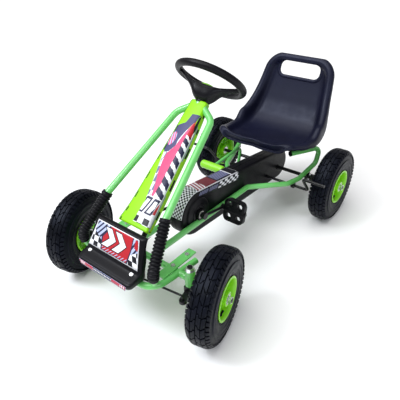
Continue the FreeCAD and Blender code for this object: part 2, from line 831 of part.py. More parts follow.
def pedal(side, pin):
    """A block pedal with four openings, turning on its pin."""
    centre = pin + X_AXIS * side * 43.5
    block = pad("XZ_Plane", [[(-37, -26), (-25, -38), (25, -38), (37, -26), (37, 26), (25, 38),
                              (-25, 38), (-37, 26)]], 22)
    windows = []
    for across in (-18, 18):
        for up in (-22, 22):
            windows.append(cylinder(Vector(across, -20, up), Y_AXIS, 8.5, 40))
    bore = cylinder(Vector(-60, 0, 0), X_AXIS, 5 + number(FIT), 120)
    body = cut(block, bore, *windows)
    body.Placement = Placement(centre, Rotation(X_AXIS, -12))
    keep(body, "pedal_left" if side > 0 else "pedal_right")


def sprocket(centre, teeth, radius, bore):
    """A toothed disc: the teeth are the points of a star."""
    corners = []
    for i in range(teeth * 2):
        angle = math.pi * i / teeth
        at = radius if i % 2 == 0 else radius - 5
        corners.append((at * math.cos(angle), at * math.sin(angle)))
    disc = pad("YZ_Plane", [corners], 4)
    wheel_disc = cut(disc, cylinder(-X_AXIS * 10, X_AXIS, bore + FIT, 20))
    wheel_disc.Placement = Placement(centre, Rotation())
    return wheel_disc


def chain():
    """The roller chain's closed loop, standing just outside the teeth of both sprockets."""
    half_width = 4.0
    outer, inner = 8.0, 0.6
    loops = [belt_outline(CRANK, CHAINRING_RADIUS + extra, REAR_AXLE, SPROCKET_RADIUS + extra)
             for extra in (outer, inner)]
    links = doc.addObject("Part::Feature", "Links")
    band = Part.Face(loops[0]).cut(Part.Face(loops[1]))
    band.translate(-X_AXIS * half_width)
    links.Shape = band.extrude(X_AXIS * half_width * 2)
    keep(links, "chain")


def rear_axle():
    """The solid axle, its sprocket and the nuts at both ends."""
    reach = number(S["half_track"]) + number(S["hub_half_length"]) + 10
    shaft = cylinder(REAR_AXLE - X_AXIS * reach, X_AXIS, S["rear_axle_radius"], 2 * reach)
    collars = [ring(REAR_AXLE + X_AXIS * (side * 172 - 5), X_AXIS, 14,
                    S["rear_axle_radius"], 10) for side in SIDES.values()]
    keep(fuse(shaft, *collars), "rear_axle")
    keep(sprocket(REAR_AXLE, SPROCKET_TEETH, SPROCKET_RADIUS, S["rear_axle_radius"]),
         "rear_sprocket")
    nuts = [nut(REAR_AXLE + X_AXIS * side * (reach - 9.6), X_AXIS * side, 11,
                S["rear_axle_radius"] + FIT, 9) for side in SIDES.values()]
    keep(group(*nuts), "rear_axle_nuts")


def drive():
    chain_case()
    crank()
    chain()
    rear_axle()


# ---------------------------------------------------------------- brake

LEVER_X = -100.0


def brake():
    """One bent rod presses on both rear tyres when the hand lever is pulled up."""
    half = [(275, 212, 197), (198, 212, 197), (198, BRAKE.y, BRAKE.z)]
    points = side_points(half, 1) + side_points(half, -1)[::-1]
    bar = rod(points, 12, S["brake_rod"])
    hub = cylinder(BRAKE + X_AXIS * (LEVER_X - 8), X_AXIS, 10, 16)
    foot = BRAKE + X_AXIS * LEVER_X
    lever = rod([foot, Vector(LEVER_X, 288, 206), Vector(LEVER_X, 107, 194)], 20, 6)
    cross = cylinder(Vector(LEVER_X - 42, 107, 194), X_AXIS, 6, 84)
    channel = cylinder(BRAKE - X_AXIS * 200, X_AXIS, S["brake_rod"], 400)
    keep(bar, "brake_bar")
    keep(cut(fuse(lever, cross, hub), channel), "brake_lever")
    handle = cylinder(Vector(LEVER_X - 50, 107, 194), X_AXIS, 15, 100)
    round_handle = doc.addObject("Part::Fillet", "Rounded")
    round_handle.Base = handle
    round_handle.Edges = [(1, 9, 9), (3, 9, 9)]
    inner_lever = rod([Vector(LEVER_X, 200, 200), Vector(LEVER_X, 107, 194)], 20, 6)
    inner_cross = cylinder(Vector(LEVER_X - 42, 107, 194), X_AXIS, 6, 84)
    keep(cut(round_handle, fuse(inner_lever, inner_cross)), "brake_grip")


# ---------------------------------------------------------------- seat

def seat_section(half_width, y, z, lean, rise, wall):
    """A U-shaped slice of the bucket, across the kart, leaning back by an angle."""
    way = Vector(0, -math.sin(math.radians(lean)), math.cos(math.radians(lean)))
    outline = [(-half_width, rise), (-half_width + 8, 8), (-half_width + 34, 0),
               (half_width - 34, 0), (half_width - 8, 8), (half_width, rise),
               (half_width + wall, rise - 2), (half_width - 4, 4 - wall),
               (half_width - 32, -wall), (-half_width + 32, -wall),
               (-half_width + 4, 4 - wall), (-half_width - wall, rise - 2)]
    centre = Vector(0, y, z)
    return [centre + X_AXIS * a + way * b for a, b in outline]


def seat():
    """A moulded bucket seat with a hand hole at the top, bolted to two cross bars."""
    wall = number(S["seat_wall"])
    stations = [(137, 197, 284, -34, 9), (147, 214, 283, -12, 12), (159, 262, 267, -2, 16),
                (164, 300, 260.5, 1, 18), (166, 345, 260, 6, 22), (167, 388, 266, 20, 42),
                (164, 430, 288, 46, 42), (155, 462, 334, 65, 31), (139, 499, 414, 72, 20),
                (131, 517, 464, 72, 15), (128, 525, 488, 72, 13), (124, 532, 507, 73, 10)]
    shell = loft([seat_section(*station, wall) for station in stations])
    window = box((-84, 440, 430.5), (84, 580, 487.5))
    rounded = doc.addObject("Part::Fillet", "Rounded")
    rounded.Base = window
    rounded.Edges = [(i + 1, 25, 25) for i, edge in enumerate(window.Shape.Edges)
                     if edge.BoundBox.YLength > 100]
    corner = 58.0
    centre = (72.0, 452.0)
    arc = [(centre[0] + corner * math.cos(math.radians(angle)),
            centre[1] + corner * math.sin(math.radians(angle))) for angle in range(0, 91, 15)]
    corners = []
    for side in SIDES.values():
        outline = arc + [(centre[0], 540), (200, 540), (200, centre[1])]
        corners.append(pad("XZ_Plane", [[(side * x, z) for x, z in outline]], 1200))
    keep(cut(shell, rounded, *corners), "seat_shell")


SEAT_BAR_HEIGHT = 246.0


def seat_mounts():
    """Cross bars between the rails under the seat, with the seat's bolts."""
    bars = []
    bolts = []
    rails = [rod(side_points(RAIL_POINTS, side), RAIL_BEND, S["rail_tube"])
             for side in SIDES.values()]
    for y, reach in ((300, 122), (366, 153)):
        bar = cylinder(Vector(-reach, y, SEAT_BAR_HEIGHT), X_AXIS, 9, 2 * reach)
        bars.append(cut(bar, *rails))
        for x in (-60, 60):
            bolts.append(bolt(Vector(x, y, SEAT_BAR_HEIGHT + 10.6), -Z_AXIS, 3, 10))
    keep(group(*bars), "seat_crossbars")
    return bolts


def frame_bolts():
    """The bolts that hold the straps to the frame and the seat to its cross bars."""
    keep(group(*bumper_straps(), *seat_mounts()), "frame_bolts")


def write_parts():
    """Checks every object, moves the kart onto its origin and writes one file per sub-part."""
    doc.recompute()
    shift = Placement(Vector(0, number(S["origin_shift"]), 0), Rotation())
    for piece in PARTS:
        piece.Placement = shift * piece.Placement
    doc.recompute()
    for obj in doc.Objects:
        if "Invalid" in obj.State or "Error" in obj.State:
            raise RuntimeError("%s (%s) did not recompute" % (obj.Name, obj.Label))
    os.makedirs("parts", exist_ok=True)
    for piece in PARTS:
        if piece.Shape.isNull() or not piece.Shape.isValid():
            raise RuntimeError("%s has no valid shape" % piece.Label)
        piece.Shape.exportStep("parts/%s.step" % piece.Label)
    whole = FreeCAD.BoundBox()
    for piece in PARTS:
        whole.add(piece.Shape.BoundBox)
    print(len(PARTS), "sub-parts")
    print("overall", [round(v, 1) for v in (whole.XMin, whole.XMax, whole.YMin, whole.YMax,
                                            whole.ZMin, whole.ZMax)])


wheels()
steering()
frame()
bodywork()
drive()
brake()
seat()
frame_bolts()
write_parts()
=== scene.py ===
import json
import math
from functools import partial

import bmesh
import bpy
from mathutils import Matrix, Vector


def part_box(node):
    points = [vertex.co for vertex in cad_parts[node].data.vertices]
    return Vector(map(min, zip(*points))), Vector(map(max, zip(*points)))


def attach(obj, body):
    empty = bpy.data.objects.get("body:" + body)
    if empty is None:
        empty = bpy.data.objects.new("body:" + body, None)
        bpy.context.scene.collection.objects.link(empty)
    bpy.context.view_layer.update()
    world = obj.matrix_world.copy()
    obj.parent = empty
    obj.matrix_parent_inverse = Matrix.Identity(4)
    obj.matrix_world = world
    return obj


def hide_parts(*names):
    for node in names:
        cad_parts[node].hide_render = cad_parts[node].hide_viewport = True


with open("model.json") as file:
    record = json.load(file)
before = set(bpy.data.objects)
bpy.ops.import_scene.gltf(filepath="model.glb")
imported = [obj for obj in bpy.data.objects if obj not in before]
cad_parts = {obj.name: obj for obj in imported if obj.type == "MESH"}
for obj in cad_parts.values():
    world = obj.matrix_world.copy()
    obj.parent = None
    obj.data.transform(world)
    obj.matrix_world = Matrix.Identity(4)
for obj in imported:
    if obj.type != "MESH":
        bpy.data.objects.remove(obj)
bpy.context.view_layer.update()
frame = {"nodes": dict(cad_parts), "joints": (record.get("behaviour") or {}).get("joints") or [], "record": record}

# The visual model of a child's pedal go kart.  Shapes are written in millimetres from the point on
# the ground midway between the axles: +X is the driver's left, the kart drives towards -Y.  Point
# lists go through row() or place(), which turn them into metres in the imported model's own frame.

JOINTS = {joint["name"]: joint for joint in frame["joints"]}


def joint_place(name):
    return Vector(JOINTS[name]["pos_m"])


MIDDLE = (joint_place("rear_axle_spin") + joint_place("knuckle_left_turn")) / 2
MIDDLE.x = MIDDLE.z = 0.0
SIDES = {"left": 1, "right": -1}


def place(x, y, z):
    """A point in millimetres from the kart's middle, as metres in the frame."""
    return Vector((x, y, z)) / 1000 + MIDDLE


# ------------------------------------------------------------------ mesh helpers

def add_to_scene(name, data):
    made = bpy.data.objects.new(name, data)
    bpy.context.scene.collection.objects.link(made)
    return made


def make_object(name, points, faces):
    """A smooth mesh object from points in metres, with its normals pointing out."""
    mesh = bpy.data.meshes.new(name)
    mesh.from_pydata([tuple(p) for p in points], [], faces)
    piece = add_to_scene(name, mesh)
    work = bmesh.new()
    work.from_mesh(mesh)
    bmesh.ops.remove_doubles(work, verts=work.verts, dist=1e-6)
    bmesh.ops.recalc_face_normals(work, faces=work.faces)
    work.to_mesh(mesh)
    work.free()
    mesh.shade_smooth()
    return piece


def finish_piece(piece, body, slot, material, *nodes):
    """Gives a piece its body and its material, and hides the CAD nodes it stands for."""
    piece.data.materials.clear()
    piece.data.materials.append(material)
    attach(piece, body)
    if nodes:
        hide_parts(*nodes)
    return piece


def grid_faces(rows, columns, wrap_rows=False, wrap_columns=False):
    faces = []
    for i in range(rows if wrap_rows else rows - 1):
        for j in range(columns if wrap_columns else columns - 1):
            after_i, after_j = (i + 1) % rows, (j + 1) % columns
            faces.append((i * columns + j, i * columns + after_j,
                          after_i * columns + after_j, after_i * columns + j))
    return faces


def skin(rows, wrap_rows=False, wrap_columns=False, cap=False):
    """Points and faces through rows of equally many points; cap closes the first and last row."""
    count = len(rows[0])
    points = [p for line in rows for p in line]
    faces = grid_faces(len(rows), count, wrap_rows, wrap_columns)
    if cap:
        faces.append(tuple(range(count)))
        faces.append(tuple(range((len(rows) - 1) * count, len(rows) * count)))
    return points, faces


class Shape:
    """Points and faces gathered from several simple forms."""

    def __init__(self):
        self.points = []
        self.faces = []

    def add(self, points, faces):
        start = len(self.points)
        self.points.extend(points)
        self.faces.extend(tuple(start + i for i in face) for face in faces)
        return self

    def make(self, name):
        return make_object(name, self.points, self.faces)


def add_modifier(piece, kind, name, **settings):
    modifier = piece.modifiers.new(name, kind)
    for key, value in settings.items():
        setattr(modifier, key, value)


def sharpen(piece, degrees):
    """Keeps edges crisp where the surface turns by more than an angle."""
    add_modifier(piece, "EDGE_SPLIT", "Sharp edges", split_angle=math.radians(degrees))


def subdivide(piece):
    add_modifier(piece, "SUBSURF", "Smooth", levels=1, render_levels=1)


def thicken(piece, thickness, offset=-1):
    add_modifier(piece, "SOLIDIFY", "Wall", thickness=thickness / 1000, offset=offset)


def apply_modifiers(piece):
    """Bakes a piece's modifiers into its mesh."""
    graph = bpy.context.evaluated_depsgraph_get()
    bpy.context.view_layer.update()
    mesh = bpy.data.meshes.new_from_object(piece.evaluated_get(graph))
    piece.modifiers.clear()
    piece.data = mesh
    return piece


def carve(piece, *tools):
    """Cuts the tools out of a piece and removes them."""
    for tool in tools:
        add_modifier(piece, "BOOLEAN", "Cut", object=tool, operation="DIFFERENCE", solver="EXACT")
    apply_modifiers(piece)
    for tool in tools:
        bpy.data.objects.remove(tool)
    return piece


def lathe(profile, centre, axis, steps=64, up=Vector((0, 0, 1)), start=0.0):
    """Points and faces of (axial, radial) corners in millimetres turned round an axis."""
    way = axis.normalized()
    if abs(way.dot(up)) > 0.99:
        up = Vector((0, 1, 0))
    first = (up - way * up.dot(way)).normalized()
    second = way.cross(first)
    rows = []
    for i in range(steps):
        angle = start + 2 * math.pi * i / steps
        out = first * math.cos(angle) + second * math.sin(angle)
        rows.append([centre + (way * a + out * r) / 1000 for a, r in profile])
    return skin(rows, wrap_rows=True)


def bent_path(corners, bend, step=3.0):
    """Points a few millimetres apart along straight runs joined by arcs of one radius."""
    path = [corners[0].copy()]

    def run_to(point):
        start = path[-1]
        count = max(1, round((point - start).length / step))
        path.extend(start.lerp(point, (i + 1) / count) for i in range(count))

    for before, corner, after in zip(corners, corners[1:], corners[2:]):
        back = (before - corner).normalized()
        ahead = (after - corner).normalized()
        half = back.angle(ahead) / 2
        reach = bend / math.tan(half)
        middle = corner + (back + ahead).normalized() * (bend / math.sin(half))
        run_to(corner + back * reach)
        first = path[-1] - middle
        last = corner + ahead * reach - middle
        count = max(2, round(first.angle(last) * bend / step))
        path.extend(middle + first.slerp(last, (i + 1) / count).normalized() * bend
                    for i in range(count))
    run_to(corners[-1])
    return path


def sweep(path, radius, sides):
    """A capped tube round a path in millimetres; radius is a function of the length along."""
    rows = []
    along = 0.0
    side = None
    for i, point in enumerate(path):
        way = (path[min(i + 1, len(path) - 1)] - path[max(i - 1, 0)]).normalized()
        if side is None:
            side = way.orthogonal().normalized()
        side = (side - way * side.dot(way)).normalized()
        other = way.cross(side)
        if i:
            along += (point - path[i - 1]).length
        rows.append([place(*(point + (side * math.cos(a) + other * math.sin(a)) * radius(along)))
                     for a in (2 * math.pi * k / sides for k in range(sides))])
    return skin(rows, wrap_columns=True, cap=True)


def spline(knots, t):
    """A smooth curve through rows of numbers at 0, 1, 2 ..., read at t."""
    last = len(knots) - 1
    i = min(int(t), last - 1)
    f = t - i
    before, start, end, after = (knots[max(i - 1, 0)], knots[i], knots[i + 1],
                                 knots[min(i + 2, last)])
    values = []
    for a, b, c, d in zip(before, start, end, after):
        values.append(0.5 * (2 * b + (c - a) * f + (2 * a - 5 * b + 4 * c - d) * f * f
                             + (3 * b - a - 3 * c + d) * f * f * f))
    return values


# ------------------------------------------------------------------ materials

class Paint:
    """A small builder for one material's nodes; sums and masks are written as expressions."""

    def __init__(self, name):
        self.material = bpy.data.materials.new(name)
        self.material.use_nodes = True
        self.tree = self.material.node_tree
        self.shader = self.tree.nodes["Principled BSDF"]

    def node(self, kind, **settings):
        made = self.tree.nodes.new("ShaderNode" + kind)
        for key, value in settings.items():
            setattr(made, key, value)
        return made

    def feed(self, socket, value):
        if isinstance(value, bpy.types.NodeSocket):
            self.tree.links.new(value, socket)
        else:
            socket.default_value = value

    def math(self, operation, *values):
        made = self.node("Math", operation=operation)
        for socket, value in zip(made.inputs, values):
            self.feed(socket, value)
        return made.outputs[0]

    def add(self, a, b):
        return self.math("ADD", a, b)

    def times(self, a, b):
        return self.math("MULTIPLY", a, b)

    def less(self, a, b):
        return self.math("LESS_THAN", a, b)

    def both(self, *masks):
        result = masks[0]
        for mask in masks[1:]:
            result = self.math("MINIMUM", result, mask)
        return result

    def either(self, *masks):
        result = masks[0]
        for mask in masks[1:]:
            result = self.math("MAXIMUM", result, mask)
        return result

    def outside(self, mask):
        return self.math("SUBTRACT", 1.0, mask)

    def band(self, value, low, high):
        """1 where low < value < high."""
        return self.both(self.less(low, value), self.less(value, high))

    def stripes(self, value, rate, share):
        """1 in the first share of each of rate stripes per unit of value."""
        return self.less(self.math("FRACT", self.times(value, rate)), share)

    def mix(self, share, low, high):
        made = self.node("Mix", data_type="RGBA")
        self.feed(made.inputs[0], share)
        self.feed(made.inputs[6], low if isinstance(low, bpy.types.NodeSocket) else colour(low))
        self.feed(made.inputs[7],
                  high if isinstance(high, bpy.types.NodeSocket) else colour(high))
        return made.outputs[2]

    def layers(self, base, *coats):
        """A base colour with (mask, colour) coats laid over it in turn."""
        result = base if isinstance(base, bpy.types.NodeSocket) else self.mix(0.0, base, base)
        for mask, coat in coats:
            result = self.mix(mask, result, coat)
        return result

    def noise(self, scale, detail=3.0, rough=0.5, vector=None):
        made = self.node("TexNoise")
        made.inputs["Scale"].default_value = scale
        made.inputs["Detail"].default_value = detail
        made.inputs["Roughness"].default_value = rough
        self.feed(made.inputs["Vector"], vector or self.object_place())
        return made.outputs["Fac"]

    def object_place(self):
        if not hasattr(self, "own_place"):
            self.own_place = self.node("TexCoord").outputs["Object"]
        return self.own_place

    def span(self, value, low, high, out_low=0.0, out_high=1.0):
        """value moved from low..high to out_low..out_high, and kept between them."""
        made = self.node("MapRange")
        for socket, number in zip(made.inputs, (value, low, high, out_low, out_high)):
            self.feed(socket, number)
        return made.outputs[0]

    def chequers(self, u, v, columns, rows):
        made = self.add(self.math("FLOOR", self.times(u, columns)),
                        self.math("FLOOR", self.times(v, rows)))
        return self.math("MODULO", self.math("ABSOLUTE", made), 2.0)

    def bump(self, height, distance, strength=1.0):
        made = self.node("Bump")
        made.inputs["Distance"].default_value = distance
        made.inputs["Strength"].default_value = strength
        self.feed(made.inputs["Height"], height)
        self.feed(self.shader.inputs["Normal"], made.outputs[0])
        return self

    def surface(self, base, roughness, **settings):
        base = base if isinstance(base, bpy.types.NodeSocket) else colour(base)
        self.feed(self.shader.inputs["Base Color"], base)
        self.feed(self.shader.inputs["Roughness"], roughness)
        for key, value in settings.items():
            self.feed(self.shader.inputs[key.replace("_", " ")], value)
        return self


def colour(rgb):
    return tuple(rgb) + (1.0,) if len(rgb) == 3 else tuple(rgb)


def grain_material(name, dark, light, roughness, grain_scale, depth, **settings):
    """Moulded or painted surface: slow colour drift, fine grain and uneven gloss."""
    paint = Paint(name)
    drift = paint.noise(9.0, 3.0)
    grain = paint.noise(grain_scale, 2.0)
    base = paint.mix(paint.span(drift, 0.3, 0.7), dark, light)
    gloss = paint.span(paint.noise(35.0, 4.0), 0.3, 0.7, roughness - 0.05, roughness + 0.07)
    paint.surface(base, gloss, **settings)
    paint.bump(grain, depth / 1000)
    return paint.material


def zinc_steel():
    paint = Paint("Zinc plated steel")
    spangle = paint.noise(420.0, 2.0)
    base = paint.mix(paint.span(spangle, 0.35, 0.65), (0.55, 0.56, 0.58), (0.78, 0.79, 0.80))
    paint.surface(base, paint.span(spangle, 0.3, 0.7, 0.22, 0.38), Metallic=1.0)
    paint.bump(paint.noise(1500.0), 0.00002)
    return paint.material


def bearing_steel():
    paint = Paint("Ground bearing steel")
    marks = paint.noise(900.0, 3.0)
    base = paint.mix(paint.span(marks, 0.35, 0.65), (0.42, 0.43, 0.45), (0.62, 0.63, 0.65))
    paint.surface(base, paint.span(marks, 0.3, 0.7, 0.18, 0.34), Metallic=1.0)
    return paint.material


def chain_steel():
    paint = Paint("Oiled chain steel")
    oil = paint.noise(160.0, 4.0)
    base = paint.mix(paint.span(oil, 0.35, 0.65), (0.03, 0.028, 0.026), (0.16, 0.15, 0.14))
    paint.surface(base, paint.span(oil, 0.3, 0.7, 0.25, 0.55), Metallic=0.9)
    paint.bump(oil, 0.0001)
    return paint.material


def tyre_rubber():
    """Rubber with a dusty bloom in soft random patches."""
    paint = Paint("Tyre rubber")
    bloom = paint.noise(28.0, 5.0, 0.6)
    fine = paint.noise(1800.0, 3.0)
    base = paint.mix(paint.span(bloom, 0.35, 0.7), (0.0008, 0.0010, 0.002), (0.0022, 0.0028, 0.007))
    paint.surface(base, paint.span(bloom, 0.3, 0.7, 0.36, 0.52), Specular_IOR_Level=0.15,
                  Specular_Tint=(0.72, 0.80, 1.0, 1.0))
    paint.bump(fine, 0.00012)
    return paint.material


MATERIALS = {
    "green_paint": grain_material("Green powder coat", (0.115, 0.50, 0.105), (0.155, 0.58, 0.15),
                                  0.34, 900.0, 0.05, Coat_Weight=0.6, Coat_Roughness=0.14),
    "lime_plastic": grain_material("Lime plastic", (0.20, 0.60, 0.004), (0.26, 0.69, 0.007),
                                   0.38, 1400.0, 0.03, Coat_Weight=0.25, Coat_Roughness=0.2),
    "black_plastic": grain_material("Black moulded plastic", (0.0012, 0.0012, 0.0024),
                                    (0.0026, 0.0026, 0.0050), 0.40, 2200.0, 0.06,
                                    Specular_IOR_Level=0.18),
    "seat_plastic": grain_material("Seat plastic", (0.0030, 0.0035, 0.013),
                                   (0.0050, 0.0060, 0.021), 0.40, 2600.0, 0.06,
                                   Specular_IOR_Level=0.24,
                                   Specular_Tint=(0.80, 0.84, 1.0, 1.0)),
    "black_steel": grain_material("Black painted steel", (0.003, 0.003, 0.004),
                                  (0.006, 0.006, 0.008), 0.33, 1100.0, 0.04,
                                  Specular_IOR_Level=0.35),
    "nylon": grain_material("Nylon", (0.55, 0.55, 0.50), (0.70, 0.70, 0.64), 0.45, 800.0, 0.03),
    "zinc_steel": zinc_steel(),
    "bearing_steel": bearing_steel(),
    "chain_steel": chain_steel(),
    "tyre_rubber": tyre_rubber(),
    "tube_rubber": tyre_rubber(),
}
SLOT_OF = {part["node"]: part["material_slot"] for part in frame["record"]["subparts"]}
BODY_OF = {node: body for body, nodes in frame["record"]["behaviour"]["bodies"].items()
           for node in nodes}


def dress_cad_nodes():
    """Every CAD node gets its slot's material."""
    for name, node in frame["nodes"].items():
        node.data.materials.clear()
        node.data.materials.append(MATERIALS[SLOT_OF[name]])


def stand_for(piece, *nodes):
    """Finishes a piece with the body of the first CAD node it replaces and its slot's material."""
    slot = SLOT_OF[nodes[0]]
    return finish_piece(piece, BODY_OF[nodes[0]], slot, MATERIALS[slot], *nodes)


def like_node(piece, node):
    """Finishes an added detail with a CAD node's body and its slot's material."""
    slot = SLOT_OF[node]
    return finish_piece(piece, BODY_OF[node], slot, MATERIALS[slot])


# ------------------------------------------------------------------ wheels

TYRE_RADIUS = 130.0
TYRE_HALF_WIDTH = 35.0
SHOULDER_RADIUS = 24.0
TREAD_DEPTH = 4.5
TREAD_PITCHES = 27


def tread_point(s, lift):
    """(axial, radial) at s millimetres across the tread from its middle, lift above its base."""
    flat = TYRE_HALF_WIDTH - SHOULDER_RADIUS
    sign = 1 if s >= 0 else -1
    reach = abs(s)
    if reach <= flat:
        return sign * reach, TYRE_RADIUS - TREAD_DEPTH + lift
    angle = (reach - flat) / SHOULDER_RADIUS
    centre = TYRE_RADIUS - SHOULDER_RADIUS
    radius = SHOULDER_RADIUS - TREAD_DEPTH + lift
    return sign * (flat + radius * math.sin(angle)), centre + radius * math.cos(angle)


def wheel_frame(name):
    """Centre of a wheel, and its axis pointing to its outer side."""
    joint = {"front_left": "front_left_wheel_spin", "front_right": "front_right_wheel_spin",
             "rear_left": "rear_left_wheel_spin", "rear_right": "rear_axle_spin"}[name]
    low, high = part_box(name + "_tyre")
    centre = (low + high) / 2
    axis = Vector(JOINTS[joint]["axis"]).normalized()
    if centre.x < 0:
        axis = -axis
    return centre, axis


def round_about(centre, axis):
    """A function from (axial, radial, angle) in a wheel to a point in the frame."""
    first = (Vector((0, 0, 1)) - axis * axis.z).normalized()
    second = axis.cross(first)

    def at(axial, radial, angle):
        out = first * math.cos(angle) + second * math.sin(angle)
        return centre + (axis * axial + out * radial) / 1000

    return at


def mirrored(profile):
    """A profile's other half, in reverse order."""
    return [(-axial, radial) for axial, radial in reversed(profile)]


def wheel_ring(at, profile, steps):
    """A closed section of (axial, radial) corners turned round a wheel's axis."""
    rows = [[at(a, r, 2 * math.pi * k / steps) for a, r in profile] for k in range(steps)]
    return skin(rows, wrap_rows=True, wrap_columns=True)


def border_places(rows, columns):
    """Places round the border of a grid, in order."""
    places = [(i, 0) for i in range(rows)] + [(rows - 1, j) for j in range(1, columns)]
    places += [(i, columns - 1) for i in range(rows - 2, -1, -1)]
    return places + [(0, j) for j in range(columns - 2, 0, -1)]


def tread_block(shape, at, near, far, start, end, skew):
    """One rubber block: near and far are places across the tread, start and end angles round it,
    and skew moves its ends along the tyre in steps, so that neighbours interlock."""
    across, round_steps = 6, 3
    inset = 0.8
    pitch = 2 * math.pi / TREAD_PITCHES

    def corner(i, j, lift, shrink):
        t = i / across
        s = near + (far - near) * t
        s += (0.5 - t) * 2 * shrink * (1 if far > near else -1)
        low = start + skew(t) * pitch + shrink / TYRE_RADIUS
        high = end + skew(t) * pitch - shrink / TYRE_RADIUS
        angle = low + (high - low) * j / round_steps
        axial, radial = tread_point(s, lift)
        return at(axial, radial, angle)

    top = [[corner(i, j, TREAD_DEPTH, inset) for j in range(round_steps + 1)]
           for i in range(across + 1)]
    points, faces = skin(top)
    columns = round_steps + 1
    border = border_places(across + 1, columns)
    above = [i * columns + j for i, j in border]
    for lift, shrink in ((TREAD_DEPTH - 0.7, 0.0), (-0.6, -0.5)):
        ring = []
        for i, j in border:
            ring.append(len(points))
            points.append(corner(i, j, lift, shrink))
        count = len(ring)
        faces.extend((above[k], above[(k + 1) % count], ring[(k + 1) % count], ring[k])
                     for k in range(count))
        above = ring
    shape.add(points, faces)


def tyre(name):
    """Carcass with sidewall ribs, and a tread of interlocking blocks."""
    at = round_about(*wheel_frame(name))
    half_steps = 16
    reach = TYRE_HALF_WIDTH - SHOULDER_RADIUS + SHOULDER_RADIUS * math.pi / 2
    profile = [tread_point(reach * i / half_steps, 0.0)
               for i in range(-half_steps, half_steps + 1)]
    wall = [(31.5, 101.5), (34.4, 99.5), (35.0, 96.0), (34.6, 92.0), (33.6, 91.0),
            (33.6, 87.5), (34.0, 86.5), (33.4, 80.0), (32.6, 79.2), (32.0, 75.0), (30.6, 69.0),
            (31.0, 68.2), (30.4, 65.6), (28.6, 64.8), (27.4, 60.8), (26.0, 57.4), (22.0, 56.9),
            (20.5, 62.0)]
    inner = [(24.0, 80.0), (27.0, 100.0), (18.0, 116.0)]
    profile = (mirrored(wall) + profile[1:-1] + wall + inner + [(0.0, 120.0)]
               + mirrored(inner))
    shape = Shape().add(*wheel_ring(at, profile, 120))
    pitch = 2 * math.pi / TREAD_PITCHES

    def step_skew(t):
        return 0.0 if t < 0.34 else (0.26 if t > 0.66 else 0.26 * (t - 0.34) / 0.32)

    for k in range(TREAD_PITCHES):
        low = k * pitch
        for sign, delay in ((1, 0.0), (-1, 0.5)):
            begin = low + delay * pitch
            tread_block(shape, at, sign * 0.9, sign * 12.2, begin, begin + pitch * 0.88,
                        step_skew)
            begin += pitch * 0.34
            tread_block(shape, at, sign * 13.8, sign * 24.4, begin, begin + pitch * 0.84,
                        lambda t: -0.22 * t)
            begin += pitch * 0.12
            for part in (0.0, 0.5):
                low_end = begin + pitch * part
                tread_block(shape, at, sign * 26.2, sign * 37.5, low_end,
                            low_end + pitch * 0.36, lambda t: 0.1 * t)
    piece = shape.make(name + "_tread_tyre")
    sharpen(piece, 38)
    return stand_for(piece, name + "_tyre")


SPOKES = 5
WEB_INNER, WEB_OUTER = 21.5, 51.5
VALVE_ANGLE = math.pi * 0.9
BOX_FACES = [(0, 1, 3, 2), (4, 6, 7, 5), (0, 4, 5, 1), (2, 3, 7, 6), (0, 2, 6, 4), (1, 5, 7, 3)]


def web_height(radius):
    """How far the web stands from the wheel's middle plane, lowest between hub and barrel."""
    return 9.5 - 3.5 * math.sin(math.pi * (radius - WEB_INNER) / (WEB_OUTER - WEB_INNER))


def spoke_half(radius):
    """Half of a spoke's angle, widest where it meets the hub and the barrel."""
    return math.pi / SPOKES * (0.50 + 0.50 * abs((radius - 36.5) / 15.0) ** 3.0)


def spoke(shape, at, side, angle):
    """One spoke with the stepped rib down its middle, on one side of the wheel."""
    columns = 8
    radii = [WEB_INNER + (WEB_OUTER - WEB_INNER) * i / 8 for i in range(9)]
    rows = [[angle + spoke_half(radius) * (j / (columns - 1) * 2 - 1) for j in range(columns)]
            for radius in radii]
    points = []
    for height in (web_height, lambda radius: 1.0):
        for radius, angles in zip(radii, rows):
            points.extend(at(side * height(radius), radius, a) for a in angles)
    size = columns * len(radii)
    faces = grid_faces(len(radii), columns)
    faces += [tuple(size + i for i in face) for face in faces]
    for i in range(len(radii) - 1):
        for j in (0, columns - 1):
            first, second = i * columns + j, (i + 1) * columns + j
            faces.append((first, second, size + second, size + first))
    shape.add(points, faces)
    half = 1.4
    for radius in range(22, 51, 4):
        corners = [at(x, r, angle + across / r) for r in (radius, radius + 4.2)
                   for x in (side * 2.0, side * (web_height(radius) + 2.9))
                   for across in (-half, half)]
        shape.add(corners, BOX_FACES)


def rim(name):
    """Moulded rim: rolled flanges, a stepped barrel, five spokes with ribs, a hub and a valve."""
    at = round_about(*wheel_frame(name))
    shape = Shape()
    flange = [(32.0, 58.6), (31.4, 60.0), (29.8, 60.0), (28.4, 57.2), (26.0, 56.4), (12.0, 54.6)]
    well = [(8.0, 50.4), (22.0, 52.2), (30.6, 53.6), (32.0, 55.2)]
    hub = [(31.6, 14.2), (32.0, 15.0), (32.0, 18.6), (31.2, 19.6), (18.0, 20.6), (10.0, 23.0)]
    for profile in (flange + mirrored(flange) + mirrored(well) + well, hub + mirrored(hub)):
        shape.add(*wheel_ring(at, profile, 96))
    for side in (1, -1):
        for k in range(SPOKES):
            spoke(shape, at, side, 2 * math.pi * k / SPOKES)
    piece = shape.make(name + "_moulded_rim")
    sharpen(piece, 40)
    stand_for(piece, name + "_rim")

    start, end = at(17.0, 52.0, VALVE_ANGLE), at(22.0, 35.0, VALVE_ANGLE)
    stem = [(0, 0.0), (0, 4.4), (3, 4.2), (5, 3.0), (11, 2.8), (11.4, 3.2), (17, 3.2),
            (17.6, 2.4), (17.6, 0.0)]
    valve = make_object(name + "_valve", *lathe(stem, start, end - start, 20))
    finish_piece(valve, BODY_OF[name + "_rim"], "tube_rubber", MATERIALS["tube_rubber"])


